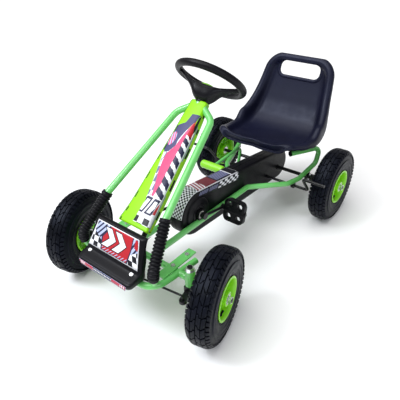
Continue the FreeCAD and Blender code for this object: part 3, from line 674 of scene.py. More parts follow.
def wheels():
    for name in ("front_left", "front_right", "rear_left", "rear_right"):
        tyre(name)
        rim(name)


# ------------------------------------------------------------------ tubes and sleeves

HOOP_POINTS = [(122, -426, 167), (134, -441, 215), (105, -355, 315), (61, -112, 478),
               (17, -90, 500)]
HOOP_BEND = 34.0
HOSE_RADIUS = 15.5
HOSE_PITCH = 8.6


def hoses():
    """Corrugated sleeves: rounded ribs all along, with a plain cuff at each end."""
    foot, low, high = (Vector(p) for p in HOOP_POINTS[:3])
    start = low + (foot - low) * 0.42
    end = high + (high - low).normalized() * 2
    for word, side in SIDES.items():
        corners = [Vector((side * p.x, p.y, p.z)) for p in (start, low, end)]
        path = bent_path(corners, HOOP_BEND, 0.7)
        length = sum((b - a).length for a, b in zip(path, path[1:]))
        cuff = 5.0

        def radius(along):
            if along < cuff or along > length - cuff:
                return HOSE_RADIUS - 1.2
            wave = abs(math.sin(math.pi * (along - cuff) / HOSE_PITCH))
            return HOSE_RADIUS - 4.2 + 4.2 * wave ** 0.6

        piece = make_object("corrugated_sleeve_" + word, *sweep(path, radius, 40))
        stand_for(piece, "hose_" + word)


# ------------------------------------------------------------------ seat

# The middle line from the front lip over the pan and up the back: y, z, lean of the surface in
# degrees, half width, rise of the rolled edge above the middle and drop of the skirt outside it.
SEAT_STATIONS = [(199, 268, -78, 136, 4, 7), (193, 278, -62, 137, 4, 8), (196, 285, -36, 139, 5, 9),
                 (210, 286, -14, 145, 8, 10), (234, 277, -8, 152, 12, 10),
                 (264, 267, -2, 159, 15, 11), (302, 261, 1, 164, 17, 13),
                 (345, 260, 6, 166, 20, 24), (388, 266, 20, 167, 42, 46),
                 (430, 288, 46, 164, 41, 38), (460, 330, 64, 155, 31, 24),
                 (481, 372, 70, 146, 24, 18), (499, 414, 72, 139, 19, 15),
                 (513, 452, 72, 133, 16, 14), (522, 480, 72, 129, 13, 13),
                 (529, 505, 73, 126, 9, 12)]
# Across the rolled edge: inset from the outline, share of the rise, lift, share of the drop.
SEAT_EDGE = [(-3.0, 1.0, 0.0, 1.0), (-3.6, 1.0, 0.0, 0.55), (-3.2, 1.0, -2.0, 0.15),
             (-1.0, 1.0, 2.2, 0.0), (3.5, 1.0, 4.6, 0.0), (10.0, 1.0, 5.6, 0.0),
             (17.0, 0.98, 4.4, 0.0), (22.0, 0.84, 1.6, 0.0), (26.0, 0.55, 0.6, 0.0),
             (31.0, 0.24, 0.2, 0.0), (38.0, 0.07, 0.0, 0.0), (48.0, 0.0, 0.0, 0.0)]
FRONT_CORNER, TOP_CORNER = 58.0, 58.0
HAND_HOLE = (84.0, 459.0, 28.5, 25.0)


def rounded_box(half_x, half_z, radius, steps=8):
    """Corners of a rounded rectangle round the origin."""
    corners = []
    for quarter, (sx, sz) in enumerate(((1, 1), (-1, 1), (-1, -1), (1, -1))):
        centre = (sx * (half_x - radius), sz * (half_z - radius))
        for i in range(steps + 1):
            angle = math.pi / 2 * (quarter + i / steps)
            corners.append((centre[0] + radius * math.cos(angle),
                            centre[1] + radius * math.sin(angle)))
    return corners


def seat_line():
    """Dense stations along the middle line, each with its length from the front lip."""
    line, length = [], 0.0
    steps = 300
    for i in range(steps + 1):
        station = spline(SEAT_STATIONS, (len(SEAT_STATIONS) - 1) * i / steps)
        if line:
            length += math.dist(station[:2], line[-1][1][:2])
        line.append((length, station))
    return line


def seat_place(line, x, s, share, lift, drop_share):
    """The point x across and s along the seat, lifted by shares of the local rise and drop."""
    s = min(max(s, 0.0), line[-1][0])
    i = min(int(s / line[-1][0] * (len(line) - 1)), len(line) - 2)
    while line[i][0] > s and i > 0:
        i -= 1
    while line[i + 1][0] < s and i < len(line) - 2:
        i += 1
    (s0, a), (s1, b) = line[i], line[i + 1]
    f = (s - s0) / (s1 - s0)
    y, z, lean, half, rise, drop = (p + (q - p) * f for p, q in zip(a, b))
    front = max(0.0, 1.0 - s / 110.0)
    across = min(abs(x) / half, 1.0)
    wave = front * (8.0 * across ** 2 + 5.0 * math.exp(-(x / 26.0) ** 2))
    hollow = -3.0 * (1 - front) * (1 - across ** 2) * max(0.0, 1.0 - s / 260.0)
    height = rise * share + lift - drop * drop_share + wave + hollow
    way = Vector((0, -math.sin(math.radians(lean)), math.cos(math.radians(lean))))
    return Vector((x, y, z)) + way * height


def seat_outline(line):
    """Half the seat's outline as (x, s) points from the middle of the lip to that of the top."""
    total = line[-1][0]

    def half(s):
        near = min(line, key=lambda row: abs(row[0] - s))
        return near[1][3]

    points = [((half(0) - FRONT_CORNER) * i / 8, 0.0) for i in range(8)]
    for i in range(13):
        turn = math.pi / 2 * i / 12
        s = FRONT_CORNER * (1 - math.cos(turn))
        points.append((half(s) - FRONT_CORNER * (1 - math.sin(turn)), s))
    low, high = FRONT_CORNER, total - TOP_CORNER
    points += [(half(low + (high - low) * i / 56), low + (high - low) * i / 56)
               for i in range(1, 56)]
    for i in range(15):
        turn = math.pi / 2 * i / 14
        s = high + TOP_CORNER * math.sin(turn)
        points.append((half(s) - TOP_CORNER * (1 - math.cos(turn)), s))
    last = points[-1][0]
    return points + [(last * (1 - i / 8), total) for i in range(1, 9)]


def seat_rows():
    """Rungs across the seat: rolled edge, floor, rolled edge."""
    line = seat_line()
    outline = seat_outline(line)
    rows = []
    for i, (x, s) in enumerate(outline):
        ax, a = outline[max(i - 1, 0)]
        bx, b = outline[min(i + 1, len(outline) - 1)]
        if i == 0:
            way = (1.0, 0.0)
        elif i == len(outline) - 1:
            way = (-1.0, 0.0)
        else:
            size = math.hypot(bx - ax, b - a)
            way = ((bx - ax) / size, (b - a) / size)
        inward = (-way[1], way[0])
        edge = []
        for inset, share, lift, drop in SEAT_EDGE:
            edge.append((x + inward[0] * inset, s + inward[1] * inset, share, lift, drop))
        last_x, last_s = edge[-1][0], edge[-1][1]
        floor = [(last_x * (1 - k / 10), last_s, 0.0, 0.0, 0.0) for k in range(1, 10)]
        right = edge + floor
        middle = [(0.0, last_s, 0.0, 0.0, 0.0)]
        left = [(-q[0],) + q[1:] for q in reversed(right)]
        rows.append([place(*seat_place(line, *q)) for q in right + middle + left])
    return rows


def seat():
    """Moulded bucket with a rolled edge all round and a beaded hand hole in the back."""
    shell = make_object("bucket_seat", *skin(seat_rows()))
    thicken(shell, 4.0, offset=0)
    subdivide(shell)
    apply_modifiers(shell)
    hole_x, hole_z, half_z, corner = HAND_HOLE
    outline = rounded_box(hole_x, half_z, corner)
    tool_rows = [[place(x, y, hole_z + z) for x, z in outline] for y in (440, 580)]
    tool = make_object("HandHole", *skin(tool_rows, wrap_columns=True, cap=True))
    carve(shell, tool)
    sharpen(shell, 55)
    stand_for(shell, "seat_shell")

    lean = math.radians(19)
    bead = []
    for x, z in rounded_box(hole_x + 2.0, half_z + 2.2, corner + 1.5, 10):
        y = 515.0 + z * math.tan(lean)
        bead.append(Vector((x, y, hole_z + z)))
    rows = ring_sweep(bead, 7.0, 5.0)
    like_node(make_object("hand_hole_bead", *skin(rows, wrap_rows=True, wrap_columns=True)),
              "seat_shell")


def ring_sweep(path, wide, high, sides=16):
    """Rows round a closed path in millimetres: an oval bead."""
    centre = sum(path, Vector()) / len(path)
    normal = (path[0] - centre).cross(path[len(path) // 4] - centre).normalized()
    rows = []
    for i, point in enumerate(path):
        way = (path[(i + 1) % len(path)] - path[i - 1]).normalized()
        out = way.cross(normal).normalized()
        rows.append([place(*(point + out * wide * math.cos(a) + normal * high * math.sin(a)))
                     for a in (2 * math.pi * k / sides for k in range(sides))])
    return rows


# ------------------------------------------------------------------ bumper

BUMPER_SLOPE_FOOT = Vector((0, -456, 199))
BUMPER_SLOPE_TOP = Vector((0, -416, 280))


def bumper_half_width(z):
    """Half the bumper's width at a height."""
    levels = [(162, 84), (170, 94), (186, 99), (205, 99), (281, 89)]
    if z <= levels[0][0]:
        return levels[0][1]
    for (z0, w0), (z1, w1) in zip(levels, levels[1:]):
        if z <= z1:
            return w0 + (w1 - w0) * (z - z0) / (z1 - z0)
    return levels[-1][1]


def bumper():
    """Guard with a sloping plate, a ledge for its screws and a rounded lip below."""
    side_view = [(-434, 164.4), (-452, 164.2), (-468, 164.4), (-478, 166.4), (-486, 170.6),
                 (-490, 176), (-490.6, 183), (-489.4, 187.6), (-486.6, 189.6), (-484.2, 190.4),
                 (-483.4, 191.6), (-481.6, 193.0), (-470, 196.0), (-460.5, 198.6),
                 (-456.4, 200.6), (-453.2, 205.0), (-446, 219.4), (-438, 235.6), (-430, 251.6),
                 (-422.4, 267.2), (-418.6, 274.6), (-415.4, 278.6), (-411, 280.0),
                 (-402, 280.0)]
    rows = []
    for y, z in side_view:
        half = bumper_half_width(z)
        back = -432 + 34 * max(0.0, (z - 200) / 80)
        depth = max(back - y, 1.0)
        line = []
        for inward, away in ((0.0, 1.0), (0.0, 0.66), (0.0, 0.34)):
            line.append((half - inward, y + depth * away if depth > 20 else y + 8 + away * 4))
        for degrees in (0, 22, 45, 68, 90):
            turn = math.radians(degrees)
            corner = min(11.0, depth * 0.8)
            line.append((half - corner + corner * math.cos(turn),
                         y + corner - corner * math.sin(turn)))
        for share in (0.8, 0.55, 0.28, 0.0):
            line.append((half * share, y))
        both = line + [(-x, far) for x, far in reversed(line[:-1])]
        rows.append([place(x, far, z) for x, far in both])
    guard = make_object("bumper_guard", *skin(rows))
    thicken(guard, 2.6)
    subdivide(guard)
    stand_for(guard, "bumper_shell")


def slope_point(u, v, lift):
    """A point on the bumper's sloping plate: u across from -1 to 1, v up it from 0 to 1."""
    point = BUMPER_SLOPE_FOOT.lerp(BUMPER_SLOPE_TOP, v)
    along = (BUMPER_SLOPE_TOP - BUMPER_SLOPE_FOOT).normalized()
    out = Vector((0, -along.z, along.y))
    half = bumper_half_width(point.z)
    return Vector((u * half, 0, 0)) + point + out * lift


def flat_sheet(name, rows, uv_rows, thickness):
    """A thin sheet through rows of points in metres, with a UV map named decal."""
    points, faces = skin(rows)
    mesh = bpy.data.meshes.new(name)
    mesh.from_pydata([tuple(p) for p in points], [], faces)
    flat = [uv for line in uv_rows for uv in line]
    layer = mesh.uv_layers.new(name="decal")
    for loop in mesh.loops:
        layer.data[loop.index].uv = flat[loop.vertex_index]
    mesh.shade_smooth()
    piece = add_to_scene(name, mesh)
    thicken(piece, thickness, offset=1)
    return piece


# ------------------------------------------------------------------ fairing

FAIRING_START = Vector((0, -376, 264))
FAIRING_END = Vector((0, -88, 516))
# Length along, half width of the top, half width at the lower edge, depth.
FAIRING_STATIONS = [(0, 50, 58, 14), (58, 41, 54, 20), (163, 34.5, 47, 21), (268, 28, 40, 22),
                    (325, 26, 35, 20), (383, 24, 29, 16)]


def fairing_station(t):
    along, top, low, depth = spline(FAIRING_STATIONS, t)
    way = (FAIRING_END - FAIRING_START).normalized()
    up = Vector((0, -way.z, way.y))
    return FAIRING_START + way * along, up, top, low, depth


def fairing_top(u, t, lift=0.0):
    """A point on the crowned top, u from -1 to 1 across and t from 0 to 5 along."""
    centre, up, top = fairing_station(t)[:3]
    return centre + Vector((u * (top - 3), 0, 0)) + up * (1.6 * (1 - u * u) + lift)


def fairing():
    """Channel-shaped moulded cover with a crowned top and flared flanges."""
    rows = []
    count = 60
    for i in range(count + 1):
        t = 5 * i / count
        centre, up, top, low, depth = fairing_station(t)
        side = [(low, -depth), (low - 0.12 * (low - top), -depth * 0.85),
                (top + 0.5 * (low - top), -depth * 0.5), (top + 0.1 * (low - top), -depth * 0.14),
                (top - 0.6, -1.4), (top - 3, -0.2)]
        crown = [(top - 3) * s for s in (0.75, 0.4, 0.0)]
        line = side + [(x, 1.6 * (1 - (x / (top - 3)) ** 2)) for x in crown]
        both = line + [(-x, h) for x, h in reversed(line[:-1])]
        rows.append([place(*(centre + Vector((x, 0, 0)) + up * h)) for x, h in both])
    cover = make_object("column_cover", *skin(rows))
    thicken(cover, 2.4)
    subdivide(cover)
    stand_for(cover, "fairing")


# ------------------------------------------------------------------ chain case

CRANK = Vector((0, -138, 184))
CASE_REAR_CENTRE = Vector((0, 366, 136))
CASE_FRONT, CASE_REAR = 74.0, 57.0


def belt_points(inset, steps=40, runs=24):
    """The case's outline seen from the side, drawn in by inset, as (y, z) points."""
    across = CASE_REAR_CENTRE - CRANK
    big, small = CASE_FRONT - inset, CASE_REAR - inset
    tail = math.atan2(across.z, across.y)
    lean = math.acos((big - small) / across.length)
    points = []

    def arc(centre, radius, start, end, count):
        for i in range(count + 1):
            angle = start + (end - start) * i / count
            points.append((centre.y + radius * math.cos(angle),
                           centre.z + radius * math.sin(angle)))

    def run(count):
        (y0, z0), (y1, z1) = points[-1], ends
        for i in range(1, count):
            points.append((y0 + (y1 - y0) * i / count, z0 + (z1 - z0) * i / count))

    arc(CRANK, big, tail + lean, tail + 2 * math.pi - lean, steps)
    low = tail - lean
    ends = (CASE_REAR_CENTRE.y + small * math.cos(low), CASE_REAR_CENTRE.z + small * math.sin(low))
    run(runs)
    arc(CASE_REAR_CENTRE, small, low, tail + lean, steps // 2)
    high = tail + lean
    ends = (CRANK.y + big * math.cos(high), CRANK.z + big * math.sin(high))
    run(runs)
    return points


def case_dome(side, word):
    """Raised round cover over the crank's bearing, with ribs, on one side of the case."""
    profile = [(26.2, 52.0), (30.5, 50.5), (32.0, 48.5), (32.4, 44.0), (32.4, 30.0),
               (33.0, 28.5), (35.2, 27.5), (35.6, 25.0), (35.6, 19.5), (34.8, 18.6),
               (27.0, 18.6)]
    points, faces = lathe(profile, place(*CRANK), Vector((side, 0, 0)), 72)
    cover = make_object("crank_cover_" + word, points, faces)
    sharpen(cover, 40)
    like_node(cover, "chain_case_" + word)


def case_shell_rows(side):
    """Rows of one half shell from its seam over the rounded border to the middle of its face."""
    levels = [(0.3, 2.6), (0.3, 0.6), (1.0, 0.0), (18.5, 0.0), (22.0, 0.5), (25.0, 2.2),
              (27.0, 4.8), (27.9, 8.0), (28.0, 12.0), (28.0, 26.0), (28.0, 44.0), (28.0, 54.0)]
    return [[place(side * x, y, z) for y, z in belt_points(inset)] for x, inset in levels]


def plug_tool(centre, radius, side):
    """A round cutter through one side of the case."""
    points, faces = lathe([(20, 0.0), (20, radius), (40, radius), (40, 0.0)], place(*centre),
                          Vector((side, 0, 0)), 40)
    return make_object("Hole", points, faces)


def chain_case():
    """Two half shells with rounded borders, and holes for the crank, axle and brake rod."""
    for word, side in SIDES.items():
        rows = case_shell_rows(side)
        points, faces = skin(rows, wrap_columns=True)
        count = len(rows[0])
        faces.append(tuple(range((len(rows) - 1) * count, len(rows) * count)))
        shell = make_object("chain_guard_" + word, points, faces)
        thicken(shell, 2.2)
        apply_modifiers(shell)
        carve(shell, plug_tool(CRANK, 10.0, side), plug_tool((0, 352, 130), 10.0, side),
              plug_tool((0, 270, 126), 7.0, side))
        sharpen(shell, 40)
        stand_for(shell, "chain_case_" + word)
        case_dome(side, word)


# ------------------------------------------------------------------ steering wheel

def steering_frame():
    """Point maker of the steering wheel at rest: local x across, y down the wheel, z to the rider."""
    axis = Vector(JOINTS["steering_turn"]["axis"]).normalized()
    centre = joint_place("steering_turn")
    wheel_axis = Vector(JOINTS["front_left_wheel_spin"]["axis"])
    steer = math.atan2(wheel_axis.y, wheel_axis.x)
    coupling = [c for c in frame["record"]["behaviour"]["couplings"]
                if c["joint"] == "knuckle_left_turn"][0]
    down = Vector((0, axis.z, -axis.y))
    turned = Matrix.Rotation(steer / coupling["ratio"], 3, axis)
    across, down = turned @ Vector((1, 0, 0)), turned @ down

    def at(x, y, z):
        return centre + (across * x + down * y + axis * z) / 1000

    return at


def steering_wheel():
    """Rim with a moulding seam, dished hub with two spokes, and a round cap."""
    at = steering_frame()
    rows = []
    for i in range(96):
        angle = 2 * math.pi * i / 96
        row = []
        for k in range(28):
            turn = 2 * math.pi * k / 28
            radius = 10.4 - (0.35 if k == 14 else 0.0)
            out = 95.5 + radius * math.cos(turn)
            row.append(at(out * math.cos(angle), out * math.sin(angle), radius * math.sin(turn)))
        rows.append(row)
    ring = make_object("steering_ring", *skin(rows, wrap_rows=True, wrap_columns=True))
    stand_for(ring, "steering_wheel_rim")

    # Across the hub: place, half depth, top, bottom.
    stations = [(-90, 9, 3, -7), (-80, 11, -2, -12), (-66, 15, -9, -21), (-52, 20, -15, -31),
                (-38, 26, -19.5, -44), (-27, 30, -21, -58), (-15, 31, -21.5, -66),
                (0, 31, -21.5, -67), (15, 31, -21.5, -66), (27, 29, -21, -54),
                (38, 24, -19, -38), (52, 18, -14, -25), (66, 13, -8, -17), (80, 10, -2, -11),
                (90, 9, 3, -7)]
    rows = []
    steps = 6
    power = 0.42
    for i in range((len(stations) - 1) * steps + 1):
        x, half, top, bottom = spline(stations, i / steps)
        middle, high = (top + bottom) / 2, (top - bottom) / 2
        row = []
        for k in range(36):
            turn = 2 * math.pi * k / 36
            c, s = math.cos(turn), math.sin(turn)
            taper = 1.0 if s > 0 else 1.0 - 0.34 * (-s) * min(1.0, high / 18)
            row.append(at(x, half * taper * math.copysign(abs(c) ** power, c),
                          middle + high * math.copysign(abs(s) ** power, s)))
        rows.append(row)
    hub = make_object("dished_hub", *skin(rows, wrap_columns=True, cap=True))
    stand_for(hub, "steering_hub")

    axis = (at(0, 0, 1) - at(0, 0, 0)).normalized()
    collar = make_object("hub_collar", *lathe([(-80, 7.2), (-80, 14), (-78, 16), (-66, 18),
                                               (-60, 18), (-60, 7.2)],
                                              at(0, 0, 0), axis, 40))
    add_modifier(collar, "BEVEL", "Soft edges", width=0.0008, segments=2, limit_method="ANGLE",
                 angle_limit=math.radians(35), harden_normals=True)
    like_node(collar, "steering_hub")
    cap = make_object("hub_cap_disc", *lathe([(-22.4, 0.0), (-22.4, 20), (-20.6, 20.6),
                                              (-19.0, 20.2), (-18.2, 18.6), (-17.6, 12),
                                              (-17.4, 0.0)], at(0, 0, 0), axis, 64))
    stand_for(cap, "steering_cap")
    sticker, uvs = [], []
    circle = [(math.cos(a), math.sin(a)) for a in (2 * math.pi * k / 48 for k in range(49))]
    size = 17.0
    for radius in (0.01, 5, 10, size):
        height = -17.1 - 0.9 * (radius / 18.6) ** 2
        sticker.append([at(radius * c, radius * s, height) for c, s in circle])
        uvs.append([(0.5 + 0.5 * radius / size * c, 0.5 - 0.5 * radius / size * s)
                    for c, s in circle])
    disc = flat_sheet("cap_sticker", sticker, uvs, 0.15)
    finish_piece(disc, "steering", "lime_plastic", cap_graphics())


# ------------------------------------------------------------------ pedals and brake

def plate_curve(name, loops, half_thickness, bevel):
    """A flat plate with rounded edges from closed 2D outlines: the first is outside."""
    data = bpy.data.curves.new(name, "CURVE")
    data.dimensions = "2D"
    data.fill_mode = "BOTH"
    data.extrude = (half_thickness - bevel) / 1000
    data.bevel_depth = bevel / 1000
    data.bevel_resolution = 2
    data.offset = -bevel / 1000
    for loop in loops:
        line = data.splines.new("POLY")
        line.points.add(len(loop) - 1)
        for point, (x, y) in zip(line.points, loop):
            point.co = (x / 1000, y / 1000, 0, 1)
        line.use_cyclic_u = True
    holder = add_to_scene(name, data)
    bpy.context.view_layer.update()
    graph = bpy.context.evaluated_depsgraph_get()
    mesh = bpy.data.meshes.new_from_object(holder.evaluated_get(graph))
    bpy.data.objects.remove(holder)
    return mesh


def mesh_parts(mesh, matrix):
    """Points and faces of a mesh after a matrix."""
    points = [matrix @ v.co for v in mesh.vertices]
    return points, [tuple(face.vertices) for face in mesh.polygons]


def oval(x, y, half_x, half_y, steps=28):
    return [(x + half_x * math.cos(2 * math.pi * k / steps),
             y + half_y * math.sin(2 * math.pi * k / steps)) for k in range(steps)]


def pedals():
    """Moulded block pedals: two treads with four windows round a hollow axle tube."""
    for word in SIDES:
        joint = JOINTS["pedal_%s_spin" % word]
        low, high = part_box("pedal_" + word)
        centre = (low + high) / 2
        tilt = Matrix.Rotation(math.radians(-12), 4, "X")
        stand = Matrix.Rotation(math.radians(90), 4, "X")
        matrix = Matrix.Translation(centre) @ tilt @ stand
        outline = rounded_box(37.0, 38.0, 17.0, 10)
        windows = [oval(x, y, 9.4, 10.4) for x in (-18.2, 18.2) for y in (-21, 21)]
        shape = Shape().add(*mesh_parts(plate_curve("Plate", [outline] + windows, 9.0, 2.2),
                                        matrix))
        for y in (-33.0, 33.0):
            bar = plate_curve("Tread", [rounded_box(28.0, 2.6, 2.0, 4)], 11.0, 1.2)
            shape.add(*mesh_parts(bar, matrix @ Matrix.Translation((0, y / 1000, 0))))
        barrel = [(-37, 5.1), (-37, 9.6), (-36, 10.6), (36, 10.6), (37, 9.6), (37, 5.1)]
        shape.add(*lathe(barrel, centre, Vector(joint["axis"]), 36))
        piece = shape.make("block_pedal_" + word)
        sharpen(piece, 35)
        stand_for(piece, "pedal_" + word)


def brake_handle():
    """Cross grip with soft ends and shallow finger ribs underneath."""
    low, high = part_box("brake_grip")
    centre = (low + high) / 2
    profile = []
    for i in range(61):
        x = -50 + 100 * i / 60
        end = min(1.0, (50 - abs(x)) / 9)
        radius = 15 * math.sqrt(1 - (1 - end) ** 2)
        profile.append((x, 5.0 if i in (0, 60) else radius))
    rows = []
    for k in range(40):
        turn = 2 * math.pi * k / 40
        c, s = math.cos(turn), math.sin(turn)
        row = []
        for x, radius in profile:
            rib = 0.9 * max(0.0, -s) * (0.5 - 0.5 * math.cos(2 * math.pi * x / 20))
            size = radius - (rib if abs(x) < 40 else 0)
            row.append(centre + Vector((x, size * c, size * s)) / 1000)
        rows.append(row)
    points, faces = skin(rows, wrap_rows=True)
    count = len(profile)
    faces += [tuple(k * count + end for k in range(40)) for end in (0, count - 1)]
    stand_for(make_object("cross_grip", points, faces), "brake_grip")


# ------------------------------------------------------------------ stickers

WHITE = (0.80, 0.81, 0.85)
PALE_BLUE = (0.42, 0.48, 0.70)
NAVY = (0.016, 0.016, 0.050)
INK = (0.004, 0.004, 0.009)
SLATE = (0.060, 0.060, 0.150)
RED = (0.42, 0.013, 0.022)
PINK = (0.66, 0.055, 0.170)
LIME = (0.27, 0.68, 0.006)
GREY = (0.15, 0.16, 0.27)


class Sticker(Paint):
    """A printed sheet's material: coats of flat colour laid over a ground in turn."""

    def __init__(self, name, ground):
        super().__init__(name)
        self.ground = ground
        self.coats = []
        place_on_sheet = self.node("SeparateXYZ")
        self.feed(place_on_sheet.inputs[0], self.node("UVMap", uv_map="decal").outputs[0])
        self.u, self.v = place_on_sheet.outputs[:2]

    def across(self, low, high):
        return self.band(self.u, low, high)

    def along(self, low, high):
        return self.band(self.v, low, high)

    def lean(self, slope):
        """u sheared by v, for stripes that lean."""
        return self.add(self.u, self.times(self.v, slope))

    def shape(self, *corners):
        """1 inside a convex polygon whose corners run counterclockwise."""
        masks = []
        for (au, av), (bu, bv) in zip(corners, corners[1:] + corners[:1]):
            reach = self.add(self.times(self.u, av - bv), self.times(self.v, bu - au))
            masks.append(self.less(au * (av - bv) + av * (bu - au), reach))
        return self.both(*masks)

    def coat(self, tone, *masks):
        self.coats.append((self.both(*masks), tone))

    def border(self, tone, width_u, width_v):
        self.coat(tone, self.outside(self.both(self.across(width_u, 1 - width_u),
                                               self.along(width_v, 1 - width_v))))

    def printed(self):
        """The finished vinyl: a satin film with faint waviness."""
        wave = self.noise(60.0, 2.0)
        self.surface(self.layers(self.ground, *self.coats),
                     self.span(wave, 0.3, 0.7, 0.34, 0.46), Specular_IOR_Level=0.25)
        self.bump(wave, 0.00003)
        return self.material


def plate_graphics():
    """Race plate: red field with two thick white chevrons, chequers in the lower corners."""
    art = Sticker("Plate graphics", PALE_BLUE)
    corners = art.either(art.shape((0, 0), (0.33, 0), (0.20, 0.36), (0, 0.62)),
                         art.shape((0.70, 0), (1, 0), (1, 0.58), (0.83, 0.38)))
    red = art.shape((0.27, 0.05), (0.77, 0.05), (0.83, 0.52), (0.86, 1.0), (0.36, 1.0),
                    (0.22, 0.5))
    art.coat(NAVY, art.stripes(art.lean(-0.32), 11.0, 0.42))
    art.coat(RED, art.shape((0.90, 0.66), (0.98, 0.60), (0.98, 0.92), (0.92, 0.96)))
    art.coat(WHITE, corners)
    art.coat(INK, corners, art.chequers(art.lean(0.10), art.v, 11.0, 5.0))
    art.coat(NAVY, art.shape((0.25, 0.0), (0.79, 0.0), (0.85, 0.52), (0.88, 1.0), (0.33, 1.0),
                             (0.19, 0.5)))
    art.coat(RED, red)
    art.coat(PALE_BLUE, red, art.less(art.v, 0.16), art.stripes(art.lean(-0.5), 16.0, 0.3))
    bend = art.add(art.u, art.times(art.math("ABSOLUTE", art.add(art.v, -0.55)), 0.42))
    for start in (0.37, 0.60):
        for grow, tone in ((0.020, INK), (0.0, WHITE)):
            art.coat(tone, art.band(bend, start - grow, start + 0.135 + grow),
                     art.along(0.22 - grow * 1.6, 0.88 + grow * 1.6))
    art.border(WHITE, 0.016, 0.032)
    return art.printed()


def cover_graphics():
    """Long sticker of the column cover: slate, red and pink fields, slashes and chequers."""
    art = Sticker("Cover graphics", WHITE)
    u, v = art.u, art.v
    slate = art.either(art.shape((0, 0.50), (0.13, 0.49), (0.30, 0.50), (0.48, 0.54),
                                 (0.37, 0.75), (0.10, 0.71), (0, 0.69)),
                       art.shape((0.37, 0.52), (0.96, 0.86), (0.50, 0.85), (0.37, 0.75)))
    red = art.shape((0.70, 0.64), (0.97, 0.60), (0.97, 0.68), (0.84, 0.81))
    pink = art.either(art.shape((0.27, 0.49), (0.26, 0.45), (0.37, 0.37), (0.66, 0.38),
                                (0.70, 0.51), (0.48, 0.54)),
                      art.shape((0.37, 0.38), (0.50, 0.31), (0.69, 0.34), (0.67, 0.39)),
                      art.shape((0.50, 0.32), (0.54, 0.27), (0.62, 0.26), (0.69, 0.35)),
                      art.shape((0.46, 0.53), (0.70, 0.50), (0.76, 0.66), (0.80, 0.77)))
    edges = art.either(art.shape((0.90, 0.74), (0.97, 0.66), (1, 0.70), (1, 0.86),
                                 (0.93, 0.84)),
                       art.shape((0, 0.49), (0.05, 0.49), (0.05, 0.56), (0, 0.56)),
                       art.shape((0, 0.63), (0.05, 0.64), (0.05, 0.70), (0, 0.69)))
    emblem = art.less(art.add(art.math("POWER", art.times(art.add(u, -0.13), 6.0), 2.0),
                              art.math("POWER", art.times(art.add(v, -0.58), 21.0), 2.0)), 1.0)
    art.coat(GREY, art.shape((0.12, 0.50), (0.42, 0.24), (0.58, 0.24), (0.34, 0.49)),
             art.chequers(u, v, 9.0, 24.0))
    art.coat(SLATE, slate)
    art.coat(RED, red)
    art.coat(PINK, pink)
    art.coat(NAVY, art.shape((0.62, 0.26), (0.98, 0.26), (0.98, 0.62), (0.74, 0.63)),
             art.stripes(art.add(v, art.times(u, 0.10)), 17.0, 0.60))
    art.coat(INK, edges)
    art.coat(PALE_BLUE, emblem)
    art.coat(PINK, emblem, art.stripes(art.lean(2.2), 8.0, 0.5))
    art.coat(RED, art.shape((0.36, 0.15), (0.98, 0.17), (0.98, 0.24), (0.50, 0.27)))
    lean = art.lean(-1.4)
    for start in (0.13, 0.42):
        for grow, tone in ((0.08, WHITE), (0.055, NAVY), (0.0, WHITE)):
            art.coat(tone, art.band(lean, start - grow, start + 0.12 + grow),
                     art.along(0.165 - grow * 0.25, 0.245 + grow * 0.25))
    foot = art.along(0.055, 0.12)
    art.coat(WHITE, foot)
    art.coat(INK, foot, art.chequers(u, art.add(v, 0.005), 6.0, 15.0))
    strip = art.shape((0, 0), (0.37, 0), (0.43, 0.23), (0.34, 0.33), (0.08, 0.50), (0, 0.50))
    top = art.both(art.less(0.68, v), art.outside(art.either(slate, red, pink, edges)))
    art.coat(LIME, art.either(strip, top, art.less(v, 0.055)))
    art.coat(INK, art.less(u, 0.035), art.less(v, 0.48), art.stripes(v, 9.0, 0.35))
    return art.printed()


def flank_graphics(name, ground, shift):
    """Edging strip of a flank with dark dashes along it."""
    art = Sticker(name, ground)
    art.coat(GREY, art.less(art.u, 0.25), art.stripes(art.v, 2.1, 0.6))
    art.coat(INK, art.stripes(art.add(art.v, shift), 5.5, 0.34), art.less(0.35, art.u))
    return art.printed()


def case_band_graphics():
    """Edge band of the chain case: fine chequers, then red slashes, then a grey panel."""
    art = Sticker("Case band graphics", INK)
    slashed = art.across(0.36, 0.48)
    panel = art.both(art.across(0.67, 0.885), art.along(0.14, 0.86))
    art.coat(WHITE, art.less(art.u, 0.36), art.chequers(art.u, art.v, 52.0, 9.0))
    art.coat((0.30, 0.04, 0.07), slashed)
    art.coat(WHITE, slashed, art.stripes(art.lean(0.05), 26.0, 0.45))
    art.coat((0.16, 0.02, 0.03), art.across(0.48, 0.65))
    art.coat(GREY, panel)
    art.coat(SLATE, panel, art.stripes(art.lean(0.1), 30.0, 0.25))
    art.coat(WHITE, art.across(0.885, 0.90))
    art.border(WHITE, 0.004, 0.035)
    return art.printed()


def case_side_graphics():
    """Upper side of the chain case: two grey slanted bars and skewed chequers."""
    art = Sticker("Case side graphics", INK)
    lean = art.lean(-0.05)
    bars = art.both(art.either(art.band(lean, 0.0, 0.21), art.band(lean, 0.24, 0.44)),
                    art.along(0.24, 0.80))
    art.coat(GREY, bars)
    art.coat(INK, bars, art.stripes(lean, 26.0, 0.3))
    art.coat(WHITE, art.band(lean, 0.47, 0.97), art.along(0.10, 0.90),
             art.chequers(lean, art.v, 15.0, 3.2))
    art.coat(WHITE, art.less(0.965, art.v))
    return art.printed()


